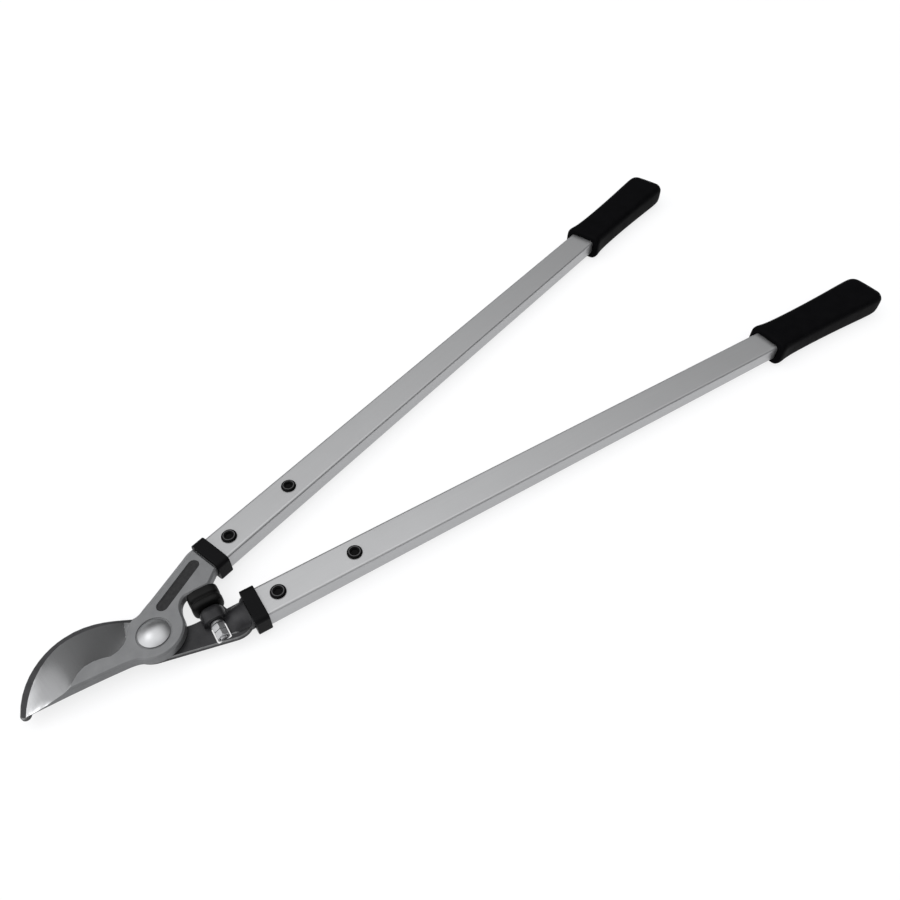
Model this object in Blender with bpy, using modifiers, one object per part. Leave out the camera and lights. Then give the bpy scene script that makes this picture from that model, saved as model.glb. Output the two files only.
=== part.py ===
"""Bypass lopper with two long tube handles, closed and lying flat.

Metres, +Z up. The origin is on the pivot's axis, at the height of the ground. The handles
run along +Y, the jaws point along -Y. The hook and its handle are on the +X side and stay
still; the blade and its handle are on the -X side and turn about the pivot.

The forgings are drawn from the centre of their round bosses, which lies on the centre line
of the closed tool. Each handle has a frame of its own: s runs along the tube from the foot
of the perpendicular that the boss centre drops on the handle's axis, and u points away from
the other handle.
"""

import math

import bmesh
import bpy
from mathutils import Matrix

# Clearance between two pieces that touch
GAP = 0.0003

# Layout of the closed tool
BOSS_X = -0.0022
BOSS_Y = 0.0004
HANDLE_ANGLE = math.radians(9.4725)
HANDLE_OFFSET = 0.01766
HOOK_SIDE = 1
BLADE_SIDE = -1

# Pivot: nut, spring washer, hook, blade and domed head, from the ground up
PIVOT_NUT_HEIGHT = 0.00585
PIVOT_NUT_FLATS = 0.017
PIVOT_THREAD_RADIUS = 0.005
PIVOT_SHANK_RADIUS = 0.006
PIVOT_BUSH_WALL = 0.0017
SPRING_WASHER_THICKNESS = 0.0009
SPRING_WASHER_RISE = 0.0006
SPRING_WASHER_RADIUS = 0.0095
DOME_RADIUS = 0.0102
DOME_RIM_HEIGHT = 0.0014
DOME_HEIGHT = 0.0042
DOME_SEAT_DEPTH = 0.0008
DOME_SEAT_MARGIN = 0.0012

# Forged jaws; their outlines are drawn on a grid of this size
JAW_GRID = 0.001
HOOK_THICKNESS = 0.0040
HOOK_BEAD = 0.0008
HOOK_BOSS_RADIUS = 0.0186
HOOK_TIP_RADIUS = 0.0030
BLADE_THICKNESS = 0.00715
BLADE_CHAMFER = 0.0013
BLADE_BOSS_RADIUS = 0.0201
ARM_FLANK_WIDTH = 0.0033
ARM_FLANK_DROP = 0.0022
ARM_SHOULDER = 0.0098
EDGE_LAND = 0.00035
GRIND_HOLLOW = 0.3
POCKET_DEPTH = 0.0008
POCKET_WIDTH = 0.0080

# Tubes and the tangs inside them
TUBE_WIDTH = 0.025
TUBE_HEIGHT = 0.0142
TUBE_WALL = 0.0016
TUBE_CORNER = 0.0022
TANG_END = 0.148

# Collars over the tubes' front ends
COLLAR_START = 0.0576
COLLAR_LENGTH = 0.0099
COLLAR_WALL = 0.0019
COLLAR_FRONT = 0.002
COLLAR_CORNER = 0.0040

# Handle screws and their sleeve nuts
SCREW_PLACES = (0.0800, 0.1384)
SCREW_HEAD_RADIUS = 0.0056
SCREW_HEAD_HEIGHT = 0.0015
SCREW_SOCKET_FLATS = 0.005
SCREW_SHANK_RADIUS = 0.0025
SLEEVE_RADIUS = 0.004
SLEEVE_HEAD_HEIGHT = 0.002

# Grips
GRIP_START = 0.5660
GRIP_LENGTH = 0.1520
GRIP_END_WALL = 0.018
GRIP_LIP = 0.0015
GRIP_FLANGE_LENGTH = 0.006
GRIP_FLANGE_WIDTH = 0.0378
GRIP_FLANGE_HEIGHT = 0.0246
GRIP_NECK_PLACE = 0.017
GRIP_NECK_WIDTH = 0.0338
GRIP_NECK_HEIGHT = 0.0224
GRIP_WAIST_REACH = 0.0732
GRIP_WAIST_WIDTH = 0.0350
GRIP_WAIST_HEIGHT = 0.0226
GRIP_END_REACH = 0.0192
GRIP_END_WIDTH = 0.0396
GRIP_END_HEIGHT = 0.0246
GRIP_CORNER = 0.0070
GRIP_NOSE = 0.0115
GRIP_NOSE_RISE = 0.0092

# Rubber bumper between the arms, its stud and its nuts
STUD_PLACE = 0.0368
STUD_RADIUS = 0.0025
STUD_NUT_FLATS = 0.008
STUD_NUT_HEIGHT = 0.005
STUD_WASHER_THICKNESS = 0.0016
STUD_OVERHANG = 0.0008
BUMPER_WIDTH = 0.0214
BUMPER_HEIGHT = 0.0176
BUMPER_LENGTH = 0.0137
BUMPER_POWER = 2.6
BUMPER_ROUND = 0.0012
BUMPER_WAIST_DEPTH = 0.0018
BUMPER_WAIST_SHARE = 0.56
STUD_IN_BUMPER = 0.008
LUG_FACE = -0.0172
LUG_BACK = -0.0046
LUG_WIDTH = 0.0165
LUG_RISE = 0.0074
LUG_ROUND = 0.0060
WINDOW_END = 0.0095

# Heights that follow from the stack on the pivot
SPRING_WASHER_BOTTOM = PIVOT_NUT_HEIGHT + GAP
HOOK_BOTTOM = SPRING_WASHER_BOTTOM + SPRING_WASHER_THICKNESS + SPRING_WASHER_RISE + GAP
HOOK_TOP = HOOK_BOTTOM + HOOK_THICKNESS
BLADE_BOTTOM = HOOK_TOP + GAP
BLADE_TOP = BLADE_BOTTOM + BLADE_THICKNESS
DOME_BOTTOM = BLADE_TOP - DOME_SEAT_DEPTH + GAP

# Places that follow from the sizes above
HANDLE_Z = GRIP_END_HEIGHT / 2
ARM_END = COLLAR_START - GAP
TUBE_START = COLLAR_START + COLLAR_FRONT + GAP
TUBE_END = GRIP_START + GRIP_LENGTH - GRIP_END_WALL
TANG_WIDTH = TUBE_WIDTH - 2 * (TUBE_WALL + GAP)
TANG_HEIGHT = TUBE_HEIGHT - 2 * (TUBE_WALL + GAP)
BUSH_BORE = PIVOT_SHANK_RADIUS + GAP
BUSH_RADIUS = BUSH_BORE + PIVOT_BUSH_WALL
STUD_NUT_CORNER = STUD_NUT_FLATS / 2 / math.cos(math.radians(30))
WINDOW_HALF = STUD_NUT_CORNER + GAP
BUMPER_BACK = LUG_FACE - GAP
BUMPER_FACE = BUMPER_BACK - BUMPER_LENGTH
CONTACT_EDGE = BUMPER_FACE - GAP
STUD_WASHER_START = LUG_BACK + GAP
STUD_NUT_START = STUD_WASHER_START + STUD_WASHER_THICKNESS + GAP
LOCK_NUT_START = STUD_NUT_START + STUD_NUT_HEIGHT + GAP
STUD_END = LOCK_NUT_START + STUD_NUT_HEIGHT + STUD_OVERHANG

# A cutter reaches this far past what it cuts
REACH = 0.004

# Steps of a full turn
FINE = 40
COARSE = 24


def collection(name):
    made = bpy.data.collections.new(name)
    bpy.context.scene.collection.children.link(made)
    return made


def material(name, colour, roughness, metallic):
    made = bpy.data.materials.new(name)
    made.use_nodes = True
    shader = made.node_tree.nodes["Principled BSDF"]
    shader.inputs["Base Color"].default_value = (*colour, 1)
    shader.inputs["Roughness"].default_value = roughness
    shader.inputs["Metallic"].default_value = metallic
    return made


for old in list(bpy.data.objects):
    bpy.data.objects.remove(old, do_unlink=True)

LOPPER = collection("lopper")
CUTTERS = collection("cutters")

FORGED_BLADE = material("forged_blade_steel", (0.30, 0.31, 0.33), 0.42, 1.0)
FORGED_HOOK = material("forged_hook_steel", (0.07, 0.07, 0.08), 0.45, 0.8)
ZINC = material("zinc_plated_steel", (0.75, 0.76, 0.78), 0.28, 1.0)
TUBE_PAINT = material("silver_tube", (0.55, 0.56, 0.58), 0.45, 0.6)
BLACK_PLASTIC = material("black_plastic", (0.015, 0.015, 0.017), 0.45, 0.0)
BLACK_STEEL = material("black_steel", (0.02, 0.02, 0.022), 0.4, 0.7)
RUBBER = material("rubber", (0.02, 0.02, 0.02), 0.7, 0.0)


# Frames


def empty(name, parent, x, y, z, turn):
    made = bpy.data.objects.new(name, None)
    made.empty_display_size = 0.02
    made.parent = parent
    made.location = (x, y, z)
    made.rotation_euler = (0, 0, turn)
    LOPPER.objects.link(made)
    return made


def handle_point(side, s, u):
    """A point of a handle's frame, seen from the boss centre."""
    cos, sin = math.cos(HANDLE_ANGLE), math.sin(HANDLE_ANGLE)
    out = HANDLE_OFFSET + u
    return side * (sin * s + cos * out), cos * s - sin * out


def side_frames(name, side):
    """The pivot, boss and handle frames of one side; the handle's local Y runs along its tube."""
    pivot = empty(f"{name}_pivot_frame", None, 0, 0, 0, 0)
    boss = empty(f"{name}_boss_frame", pivot, BOSS_X, BOSS_Y, 0, 0)
    foot_x, foot_y = handle_point(side, 0, 0)
    handle = empty(f"{name}_handle_frame", boss, foot_x, foot_y, HANDLE_Z, -side * HANDLE_ANGLE)
    return pivot, boss, handle


HOOK_PIVOT, HOOK_BOSS, HOOK_HANDLE = side_frames("hook", HOOK_SIDE)
BLADE_PIVOT, BLADE_BOSS, BLADE_HANDLE = side_frames("blade", BLADE_SIDE)


# Making objects


def finish(mesh, name, parent, skin):
    """Puts a mesh in the scene: as a part when it has a material, otherwise as a cutter."""
    made = bpy.data.objects.new(name, mesh)
    made.parent = parent
    if skin is None:
        made.hide_render = True
        made.display_type = "WIRE"
        CUTTERS.objects.link(made)
    else:
        mesh.materials.append(skin)
        LOPPER.objects.link(made)
    return made


def shade(mesh):
    mesh.shade_smooth()
    mesh.set_sharp_from_angle(angle=math.radians(30))


def boolean(target, operation, tool, name):
    step = target.modifiers.new(name, "BOOLEAN")
    step.operation = operation
    step.object = tool
    step.solver = "EXACT"
    return target


def cut(target, tool):
    return boolean(target, "DIFFERENCE", tool, f"cut {tool.name}")


def join(target, tool):
    return boolean(target, "UNION", tool, f"join {tool.name}")


def jaw(x, y):
    """A point of the jaws' drawing, counted in its grid from the boss centre."""
    return x * JAW_GRID, y * JAW_GRID


def between(start, end, share):
    return tuple(a + (b - a) * share for a, b in zip(start, end))


def arc_steps(centre, radius, start, end):
    """Cubic steps along a circle, from one angle to another in degrees, and its first point."""
    count = max(1, math.ceil(abs(end - start) / 60))
    sweep = math.radians(end - start) / count
    pull = 4 / 3 * math.tan(sweep / 4) * radius

    def place(angle):
        return centre[0] + radius * math.cos(angle), centre[1] + radius * math.sin(angle)

    steps = []
    angle = math.radians(start)
    for _ in range(count):
        here, there = place(angle), place(angle + sweep)
        leave = (here[0] - pull * math.sin(angle), here[1] + pull * math.cos(angle))
        angle += sweep
        arrive = (there[0] + pull * math.sin(angle), there[1] - pull * math.cos(angle))
        steps.append((leave, arrive, there))
    return place(math.radians(start)), steps


def add_outline(curve, start, steps):
    """Adds a closed outline: a step is the next point, or two handles and the next point."""
    spline = curve.splines.new("BEZIER")
    spline.bezier_points.add(len(steps) - 1)
    knots = [start] + [step if isinstance(step[0], float) else step[2] for step in steps]
    for index, step in enumerate(steps):
        here = spline.bezier_points[index]
        there = spline.bezier_points[(index + 1) % len(steps)]
        straight = isinstance(step[0], float)
        a, b = knots[index], knots[index + 1]
        if straight:
            leave = ((2 * a[0] + b[0]) / 3, (2 * a[1] + b[1]) / 3)
            arrive = ((a[0] + 2 * b[0]) / 3, (a[1] + 2 * b[1]) / 3)
        else:
            leave, arrive = step[0], step[1]
        here.co = (*a, 0)
        here.handle_right_type = there.handle_left_type = "VECTOR" if straight else "FREE"
        here.handle_right = (*leave, 0)
        there.handle_left = (*arrive, 0)
    spline.use_cyclic_u = True


def flat_curve(outlines, bottom, top, resolution):
    """A filled curve from height bottom to top; a second outline inside the first is a hole."""
    curve = bpy.data.curves.new("outline", "CURVE")
    curve.dimensions = "2D"
    curve.fill_mode = "BOTH"
    curve.resolution_u = resolution
    curve.extrude = (top - bottom) / 2
    for start, steps in outlines:
        add_outline(curve, start, steps)
    made = bpy.data.objects.new("outline", curve)
    made.location = (0, 0, (bottom + top) / 2)
    CUTTERS.objects.link(made)
    return made


def solid_from_curve(guide, turn=Matrix()):
    """The closed mesh of a filled curve, with its caps welded on, and the curve removed."""
    bpy.context.view_layer.update()
    graph = bpy.context.evaluated_depsgraph_get()
    mesh = bpy.data.meshes.new_from_object(guide.evaluated_get(graph))
    mesh.transform(turn @ guide.matrix_world)
    curve = guide.data
    bpy.data.objects.remove(guide)
    bpy.data.curves.remove(curve)
    bm = bmesh.new()
    bm.from_mesh(mesh)
    bmesh.ops.remove_doubles(bm, verts=bm.verts, dist=0.00002)
    bmesh.ops.dissolve_limit(bm, angle_limit=math.radians(0.5), verts=bm.verts, edges=bm.edges)
    bmesh.ops.recalc_face_normals(bm, faces=bm.faces)
    bm.to_mesh(mesh)
    bm.free()
    return mesh


def chamfer_rim(mesh, height, width, lowest_y=-1.0):
    """Cuts a flat along the rim edges at this height of the mesh, from lowest_y on."""
    bm = bmesh.new()
    bm.from_mesh(mesh)
    rim = [
        edge
        for edge in bm.edges
        if all(abs(vert.co.z - height) < 0.00001 and vert.co.y > lowest_y for vert in edge.verts)
        and edge.calc_face_angle(0) > math.radians(45)
    ]
    bmesh.ops.bevel(
        bm, geom=rim, offset=width, offset_type="OFFSET", segments=1, profile=0.5, affect="EDGES"
    )
    bm.to_mesh(mesh)
    bm.free()


def plate(outline, bottom, top, resolution=8):
    return solid_from_curve(flat_curve([outline], bottom, top, resolution))


def loft(sections):
    """The closed mesh over sections of equally many points, with flat ends."""
    mesh = bpy.data.meshes.new("loft")
    bm = bmesh.new()
    rings = [[bm.verts.new(point) for point in section] for section in sections]
    for ring, after in zip(rings, rings[1:]):
        for index in range(len(ring)):
            ahead = (index + 1) % len(ring)
            bm.faces.new((ring[index], ring[ahead], after[ahead], after[index]))
    bm.faces.new(rings[0])
    bm.faces.new(rings[-1])
    bmesh.ops.recalc_face_normals(bm, faces=bm.faces)
    bm.to_mesh(mesh)
    bm.free()
    return mesh


def rounded_rectangle(half_width, half_height, corner, steps):
    """Points of a rounded rectangle about the origin, counter-clockwise."""
    points = []
    for index, (sign_x, sign_y) in enumerate(((1, 1), (-1, 1), (-1, -1), (1, -1))):
        for step in range(steps + 1):
            angle = math.radians(90 * (index + step / steps))
            x = sign_x * (half_width - corner) + corner * math.cos(angle)
            y = sign_y * (half_height - corner) + corner * math.sin(angle)
            points.append((x, y))
    return points


def rectangle_outline(half_width, half_height, corner):
    """The outline of a rounded rectangle about the origin."""
    inner_x, inner_y = half_width - corner, half_height - corner
    start = None
    steps = []
    for turn, (x, y) in enumerate(
        ((inner_x, inner_y), (-inner_x, inner_y), (-inner_x, -inner_y), (inner_x, -inner_y))
    ):
        first, arc = arc_steps((x, y), corner, 90 * turn, 90 * turn + 90)
        if start is None:
            start = first
        else:
            steps.append(first)
        steps += arc
    steps.append(start)
    return start, steps


def along_handle(mesh, s):
    """Turns a mesh drawn in X and Y, and raised along Z, so that it runs along a handle from s."""
    mesh.transform(Matrix.Translation((0, s, 0)) @ Matrix.Rotation(math.radians(-90), 4, "X"))
    return mesh


def box_along_handle(name, parent, skin, half_width, half_height, corner, start, end):
    mesh = plate(rectangle_outline(half_width, half_height, corner), 0, end - start, resolution=4)
    return finish(along_handle(mesh, start), name, parent, skin)


def cylinder_mesh(radius, bottom, top, steps):
    mesh = bpy.data.meshes.new("cylinder")
    bm = bmesh.new()
    bmesh.ops.create_cone(
        bm, cap_ends=True, segments=steps, radius1=radius, radius2=radius, depth=top - bottom
    )
    bmesh.ops.translate(bm, verts=bm.verts, vec=(0, 0, (bottom + top) / 2))
    bm.to_mesh(mesh)
    bm.free()
    return mesh


def hexagon_mesh(flats, bottom, top):
    """A six-sided prism about Z with two flats square to Y."""
    mesh = cylinder_mesh(flats / 2 / math.cos(math.radians(30)), bottom, top, 6)
    mesh.transform(Matrix.Rotation(math.radians(30), 4, "Z"))
    return mesh


def turned(name, parent, skin, profile, steps):
    """A turned piece: its profile in X and Z runs from the top down the outer side."""
    mesh = bpy.data.meshes.new(name)
    closed = profile[0][0] > 0
    edges = [(index, index + 1) for index in range(len(profile) - 1)]
    if closed:
        edges.append((len(profile) - 1, 0))
    mesh.from_pydata([(x, 0, z) for x, z in profile], edges, [])
    made = finish(mesh, name, parent, skin)
    screw = made.modifiers.new("turn", "SCREW")
    screw.axis = "Z"
    screw.angle = math.radians(360)
    screw.steps = screw.render_steps = steps
    screw.use_merge_vertices = True
    screw.merge_threshold = 0.00001
    screw.use_smooth_shade = False
    return made


def cylinder_cutter(name, parent, radius, bottom, top, x=0.0, y=0.0, steps=COARSE):
    made = finish(cylinder_mesh(radius, bottom, top, steps), name, parent, None)
    made.location = (x, y, 0)
    return made


# Blade


def arm_outer_edge():
    """The ends of the arm's straight outer edge: below its shoulder and at the neck."""
    return handle_point(BLADE_SIDE, ARM_END - ARM_SHOULDER, 0.0118), jaw(-21, 6.4)


def blade_outline():
    """Heel, cutting edge, tip, spine, boss, contact edge, arm and neck, counter-clockwise."""
    heel = jaw(-17.2, -5.5)
    belly = jaw(-35.5, -44.5)
    tip = jaw(-3.2, -84.2)
    spine_start = jaw(-2.8, -81.5)
    spine_end = jaw(9.1, -25)
    boss_start, boss = arc_steps((0, 0), BLADE_BOSS_RADIUS, -41.5, 78)
    contact_start = handle_point(HOOK_SIDE, STUD_PLACE - 0.0102, CONTACT_EDGE)
    contact_end = handle_point(HOOK_SIDE, STUD_PLACE + 0.0038, CONTACT_EDGE)
    contact_corner = handle_point(HOOK_SIDE, STUD_PLACE + 0.0064, CONTACT_EDGE)
    arm_inner = handle_point(BLADE_SIDE, ARM_END, -0.0126)
    arm_start = between(contact_corner, arm_inner, 0.2)
    arm_outer = handle_point(BLADE_SIDE, ARM_END, 0.0122)
    arm_shoulder = handle_point(BLADE_SIDE, ARM_END - 0.0034, 0.0138)
    arm_cheek = handle_point(BLADE_SIDE, ARM_END - 0.0070, 0.0131)
    arm_side, neck = arm_outer_edge()
    steps = [
        (jaw(-28.6, -15.6), jaw(-35.1, -30.5), belly),
        (jaw(-36, -60.5), jaw(-20.5, -76.8), tip),
        spine_start,
        (jaw(0.7, -62.5), jaw(4.5, -43.5), spine_end),
        (jaw(10.5, -19.1), jaw(12, -15.9), boss_start),
        *boss,
        (jaw(-2.8, 20.5), jaw(-8.2, 23.5), contact_start),
        contact_end,
        (contact_corner, contact_corner, arm_start),
        arm_inner,
        arm_outer,
        (arm_shoulder, arm_cheek, arm_side),
        neck,
        (jaw(-19.5, 3.1), jaw(-16, -1.3), heel),
    ]
    return heel, steps


def grind_section(edge, shoulder, rise, points=6):
    """One section of what the grinding wheel took off, from outside the edge to the shoulder.

    The ground face starts at the edge's land and ends at the shoulder, rise above the blade's
    flat back. It runs straight on past the shoulder where the shoulder is lower than the top.
    """
    low = BLADE_BOTTOM + EDGE_LAND
    high = BLADE_BOTTOM + rise
    above = BLADE_TOP + REACH
    span_x, span_y = shoulder[0] - edge[0], shoulder[1] - edge[1]
    slope = (high - low) / math.hypot(span_x, span_y)
    unit_x, unit_y = span_x / math.hypot(span_x, span_y), span_y / math.hypot(span_x, span_y)
    section = [(edge[0] - REACH * unit_x, edge[1] - REACH * unit_y, above)]
    section.append((section[0][0], section[0][1], low - REACH * slope))
    for index in range(points):
        t = index / (points - 1)
        z = low + (high - low) * (t - GRIND_HOLLOW * t * (1 - t))
        section.append((edge[0] + span_x * t, edge[1] + span_y * t, z))
    past = REACH * 1.5
    end = (shoulder[0] + past * unit_x, shoulder[1] + past * unit_y)
    run_out = high + past * slope
    if rise < BLADE_THICKNESS:
        section.append((*end, run_out))
        section.append((*end, above))
    else:
        section.append((shoulder[0] + 0.0002 * unit_x, shoulder[1] + 0.0002 * unit_y, above - 0.001))
        section.append((shoulder[0] + 0.0002 * unit_x, shoulder[1] + 0.0002 * unit_y, above))
    return section


def grind_cutter():
    """The hollow-ground bevel: a loft between sections that fan along the cutting edge."""
    full = BLADE_THICKNESS
    stations = [
        (jaw(-19.1, -4.3), jaw(-18.3, -4.0), full),
        (jaw(-18.4, -6.7), jaw(-15.9, -6.2), full),
        (jaw(-20.3, -8.4), jaw(-14.6, -8.4), full),
        (jaw(-21.9, -9.8), jaw(-12, -10.4), full),
        (jaw(-24.5, -12.8), jaw(-7.2, -13.8), full),
        (jaw(-28.5, -17.8), jaw(-3.4, -18.4), full),
        (jaw(-31.2, -22.5), jaw(-1.6, -23), full),
        (jaw(-33.2, -27.8), jaw(-1.4, -28), full),
        (jaw(-34.4, -32.6), jaw(-3.8, -32.6), full),
        (jaw(-35.2, -38), jaw(-5.6, -38), full),
        (jaw(-35.4, -44), jaw(-6.1, -43.6), full),
        (jaw(-34.9, -49), jaw(-4.4, -48.8), full),
        (jaw(-33.5, -53), jaw(-0.6, -54.2), full),
        (jaw(-31.2, -58), jaw(1.4, -60.4), full * 0.81),
        (jaw(-28, -64), jaw(0.2, -65.7), full * 0.57),
        (jaw(-22.7, -70.9), jaw(-0.9, -71), full * 0.31),
        (jaw(-16, -77), jaw(-1.8, -76.1), full * 0.17),
        (jaw(-6, -83), jaw(-2.6, -81), full * 0.084),
        (jaw(-2.5, -86.5), jaw(1, -83.5), full * 0.07),
    ]
    mesh = loft([grind_section(*station) for station in stations])
    return finish(mesh, "grind_cutter", BLADE_BOSS, None)


def tang_profile(root, rise):
    """Side view of a tang, s to the right: its root climbs from the arm to the full height."""
    half = TANG_HEIGHT / 2
    return (root, rise), [
        (root + 0.014, -half),
        (TANG_END, -half),
        (TANG_END, half),
        (root + 0.002, half),
        (root, rise),
    ]


def tang_cutter(name, handle, root, rise):
    """A tang lies across the handle's frame: the profile is raised along u, then turned."""
    guide = flat_curve([tang_profile(root, rise)], -TANG_WIDTH / 2, TANG_WIDTH / 2, 1)
    stand = Matrix(((0, 0, 1, 0), (1, 0, 0, 0), (0, 1, 0, 0), (0, 0, 0, 1)))
    return finish(solid_from_curve(guide, stand), name, handle, None)


def drill_tang(piece, handle, name):
    for place, s in enumerate(SCREW_PLACES):
        drill = cylinder_cutter(
            f"{name}_tang_drill_{place + 1}", handle, SLEEVE_RADIUS + GAP, -REACH * 3, REACH * 3, y=s
        )
        cut(piece, drill)


def pocket_cutter():
    """The shallow pocket with round ends on the arm's top face."""
    far = jaw(-26.8, 45)
    near = jaw(-12.2, 13.5)
    run = math.degrees(math.atan2(far[1] - near[1], far[0] - near[0]))
    half = POCKET_WIDTH / 2
    start, far_end = arc_steps(far, half, run - 90, run + 90)
    first, near_end = arc_steps(near, half, run + 90, run + 270)
    outline = (start, [*far_end, first, *near_end, start])
    mesh = plate(outline, BLADE_TOP - POCKET_DEPTH, BLADE_TOP + REACH)
    return finish(mesh, "pocket_cutter", BLADE_BOSS, None)


def arm_flank_cutter():
    """The slope that takes the corner off the arm's outer edge and fades out past the neck."""
    side, neck = arm_outer_edge()
    length = math.dist(side, neck)
    along = ((neck[0] - side[0]) / length, (neck[1] - side[1]) / length)
    inward = (-along[1], along[0])
    past = ARM_SHOULDER + REACH
    behind_collar = (side[0] - along[0] * past, side[1] - along[1] * past)
    low = BLADE_TOP - ARM_FLANK_DROP * (1 + REACH / ARM_FLANK_WIDTH)
    inner = ARM_FLANK_WIDTH * (1 + REACH / ARM_FLANK_DROP)
    sections = []
    for x, y in (behind_collar, jaw(-22.6, 10), jaw(-20.4, 2.8), jaw(-21, -0.8)):
        outside = (x - inward[0] * REACH, y - inward[1] * REACH)
        sections.append([
            (*outside, low),
            (*outside, BLADE_TOP + REACH),
            (x + inward[0] * inner, y + inward[1] * inner, BLADE_TOP + REACH),
        ])
    return finish(loft(sections), "arm_flank_cutter", BLADE_BOSS, None)


def make_blade():
    mesh = plate(blade_outline(), BLADE_BOTTOM, BLADE_TOP, resolution=10)
    chamfer_rim(mesh, BLADE_TOP, BLADE_CHAMFER, lowest_y=-0.070)
    blade = finish(mesh, "blade", BLADE_BOSS, FORGED_BLADE)
    join(blade, tang_cutter("blade_tang", BLADE_HANDLE, 0.042, BLADE_BOTTOM + 0.0006 - HANDLE_Z))
    cut(blade, grind_cutter())
    cut(blade, pocket_cutter())
    cut(blade, arm_flank_cutter())
    cut(
        blade,
        cylinder_cutter(
            "blade_bore", BLADE_PIVOT, BUSH_RADIUS + GAP, BLADE_BOTTOM - REACH, BLADE_TOP + REACH,
            steps=FINE,
        ),
    )
    seat = DOME_RADIUS + DOME_SEAT_MARGIN
    cut(
        blade,
        cylinder_cutter(
            "dome_seat", BLADE_PIVOT, seat, BLADE_TOP - DOME_SEAT_DEPTH, BLADE_TOP + REACH, steps=FINE
        ),
    )
    drill_tang(blade, BLADE_HANDLE, "blade")


# Hook


def hook_outline():
    """Back, tip, mouth, near side, shoulder, lug and boss, counter-clockwise."""
    radius = HOOK_BOSS_RADIUS
    belly = jaw(-39.6, -45)
    tip_start, tip = arc_steps(jaw(-5.9, -84), HOOK_TIP_RADIUS, -115, 53)
    mouth = jaw(-25.5, -46)
    near_start, near = arc_steps((0, 0), radius, -101, -23)
    shoulder = jaw(36.9, 37.9)
    shoulder_end = handle_point(HOOK_SIDE, ARM_END - 0.0026, 0.0106)
    arm_outer = handle_point(HOOK_SIDE, ARM_END, 0.0106)
    arm_inner = handle_point(HOOK_SIDE, ARM_END, -0.0122)
    lug_half = LUG_WIDTH / 2
    lug_high = handle_point(HOOK_SIDE, STUD_PLACE + lug_half + 0.0015, -0.0122)
    lug_top = handle_point(HOOK_SIDE, STUD_PLACE + lug_half - LUG_ROUND * 0.5, LUG_FACE)
    lug_bottom = handle_point(HOOK_SIDE, STUD_PLACE - lug_half + LUG_ROUND * 0.5, LUG_FACE)
    lug_low = handle_point(HOOK_SIDE, STUD_PLACE - lug_half, -0.0130)
    lug_high_pull = handle_point(HOOK_SIDE, STUD_PLACE + lug_half, LUG_FACE)
    lug_low_pull = handle_point(HOOK_SIDE, STUD_PLACE - lug_half, LUG_FACE)
    boss_start, boss = arc_steps((0, 0), radius, 70, 178)
    back_start = boss[-1][2]
    steps = [
        (jaw(-18.8, -5.3), jaw(-40.6, -21.6), belly),
        (jaw(-39.5, -59), jaw(-30.5, -78), tip_start),
        *tip,
        (jaw(-14.5, -73.5), jaw(-25.5, -60), mouth),
        (jaw(-25.5, -32), jaw(-15, -18.6), near_start),
        *near,
        shoulder,
        (jaw(38.7, 42), jaw(38.7, 46.2), shoulder_end),
        arm_outer,
        arm_inner,
        lug_high,
        (lug_high_pull, lug_high_pull, lug_top),
        lug_bottom,
        (lug_low_pull, lug_low_pull, lug_low),
        (jaw(8.9, 25), jaw(8.6, 22.2), boss_start),
        *boss,
    ]
    return back_start, steps


def hump_section(s, half_width, top, power, points=12):
    """Half of an ellipse that stands in the plate, seen along the handle; a low power squares it."""
    base = HOOK_BOTTOM + 0.002 - HANDLE_Z
    section = []
    for index in range(points + 1):
        angle = math.pi * index / points
        across = math.copysign(abs(math.cos(angle)) ** power, math.cos(angle))
        up = math.sin(angle) ** power
        section.append((half_width * across, s, base + (top - base) * up))
    return section


def hook_hump():
    """The forging swells from the window up to the height of the tube."""
    start = STUD_PLACE + WINDOW_HALF
    crest = TUBE_HEIGHT / 2 - 0.0005
    swell = ARM_END - start
    stations = (
        (0.00, 0.0088, 0.0018, 1.0),
        (0.18, 0.0094, 0.0038, 1.0),
        (0.36, 0.0098, 0.0053, 0.95),
        (0.58, 0.0100, 0.0062, 0.9),
        (0.80, 0.0102, crest, 0.8),
        (1.00, 0.0106, crest, 0.6),
    )
    mesh = loft(
        [hump_section(start + share * swell, half, top, power) for share, half, top, power in stations]
    )
    return finish(mesh, "hook_hump", HOOK_HANDLE, None)


def lug_block():
    """The lug that holds the stud: a block with all its edges rounded but the lowest."""
    mesh = bpy.data.meshes.new("lug")
    bm = bmesh.new()
    base = HOOK_BOTTOM + 0.0015 - HANDLE_Z
    depth = LUG_BACK - LUG_FACE
    size = Matrix.Diagonal((depth, LUG_WIDTH, LUG_RISE - base, 1))
    bmesh.ops.create_cube(bm, size=1, matrix=size)
    middle = ((LUG_FACE + LUG_BACK) / 2, STUD_PLACE, (LUG_RISE + base) / 2)
    bmesh.ops.translate(bm, verts=bm.verts, vec=middle)
    rounded = [
        edge
        for edge in bm.edges
        if any(vert.co.z > middle[2] for vert in edge.verts)
        and not all(vert.co.x > middle[0] for vert in edge.verts)
    ]
    bmesh.ops.bevel(
        bm, geom=rounded, offset=LUG_ROUND, offset_type="OFFSET", segments=5, profile=0.5,
        affect="EDGES", clamp_overlap=True,
    )
    bm.to_mesh(mesh)
    bm.free()
    return finish(mesh, "lug_block", HOOK_HANDLE, None)


def window_cutter():
    """The window that the stud's nuts turn in."""
    half_length = (WINDOW_END - LUG_BACK) / 2
    mesh = plate(rectangle_outline(half_length, WINDOW_HALF, 0.0012), -REACH * 3, REACH * 3, 3)
    window = finish(mesh, "window_cutter", HOOK_HANDLE, None)
    window.location = (LUG_BACK + half_length, STUD_PLACE, 0)
    return window


def across_handle(mesh):
    """Turns a mesh about Z so that its axis runs along u."""
    mesh.transform(Matrix.Rotation(math.radians(90), 4, "Y"))
    return mesh


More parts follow.
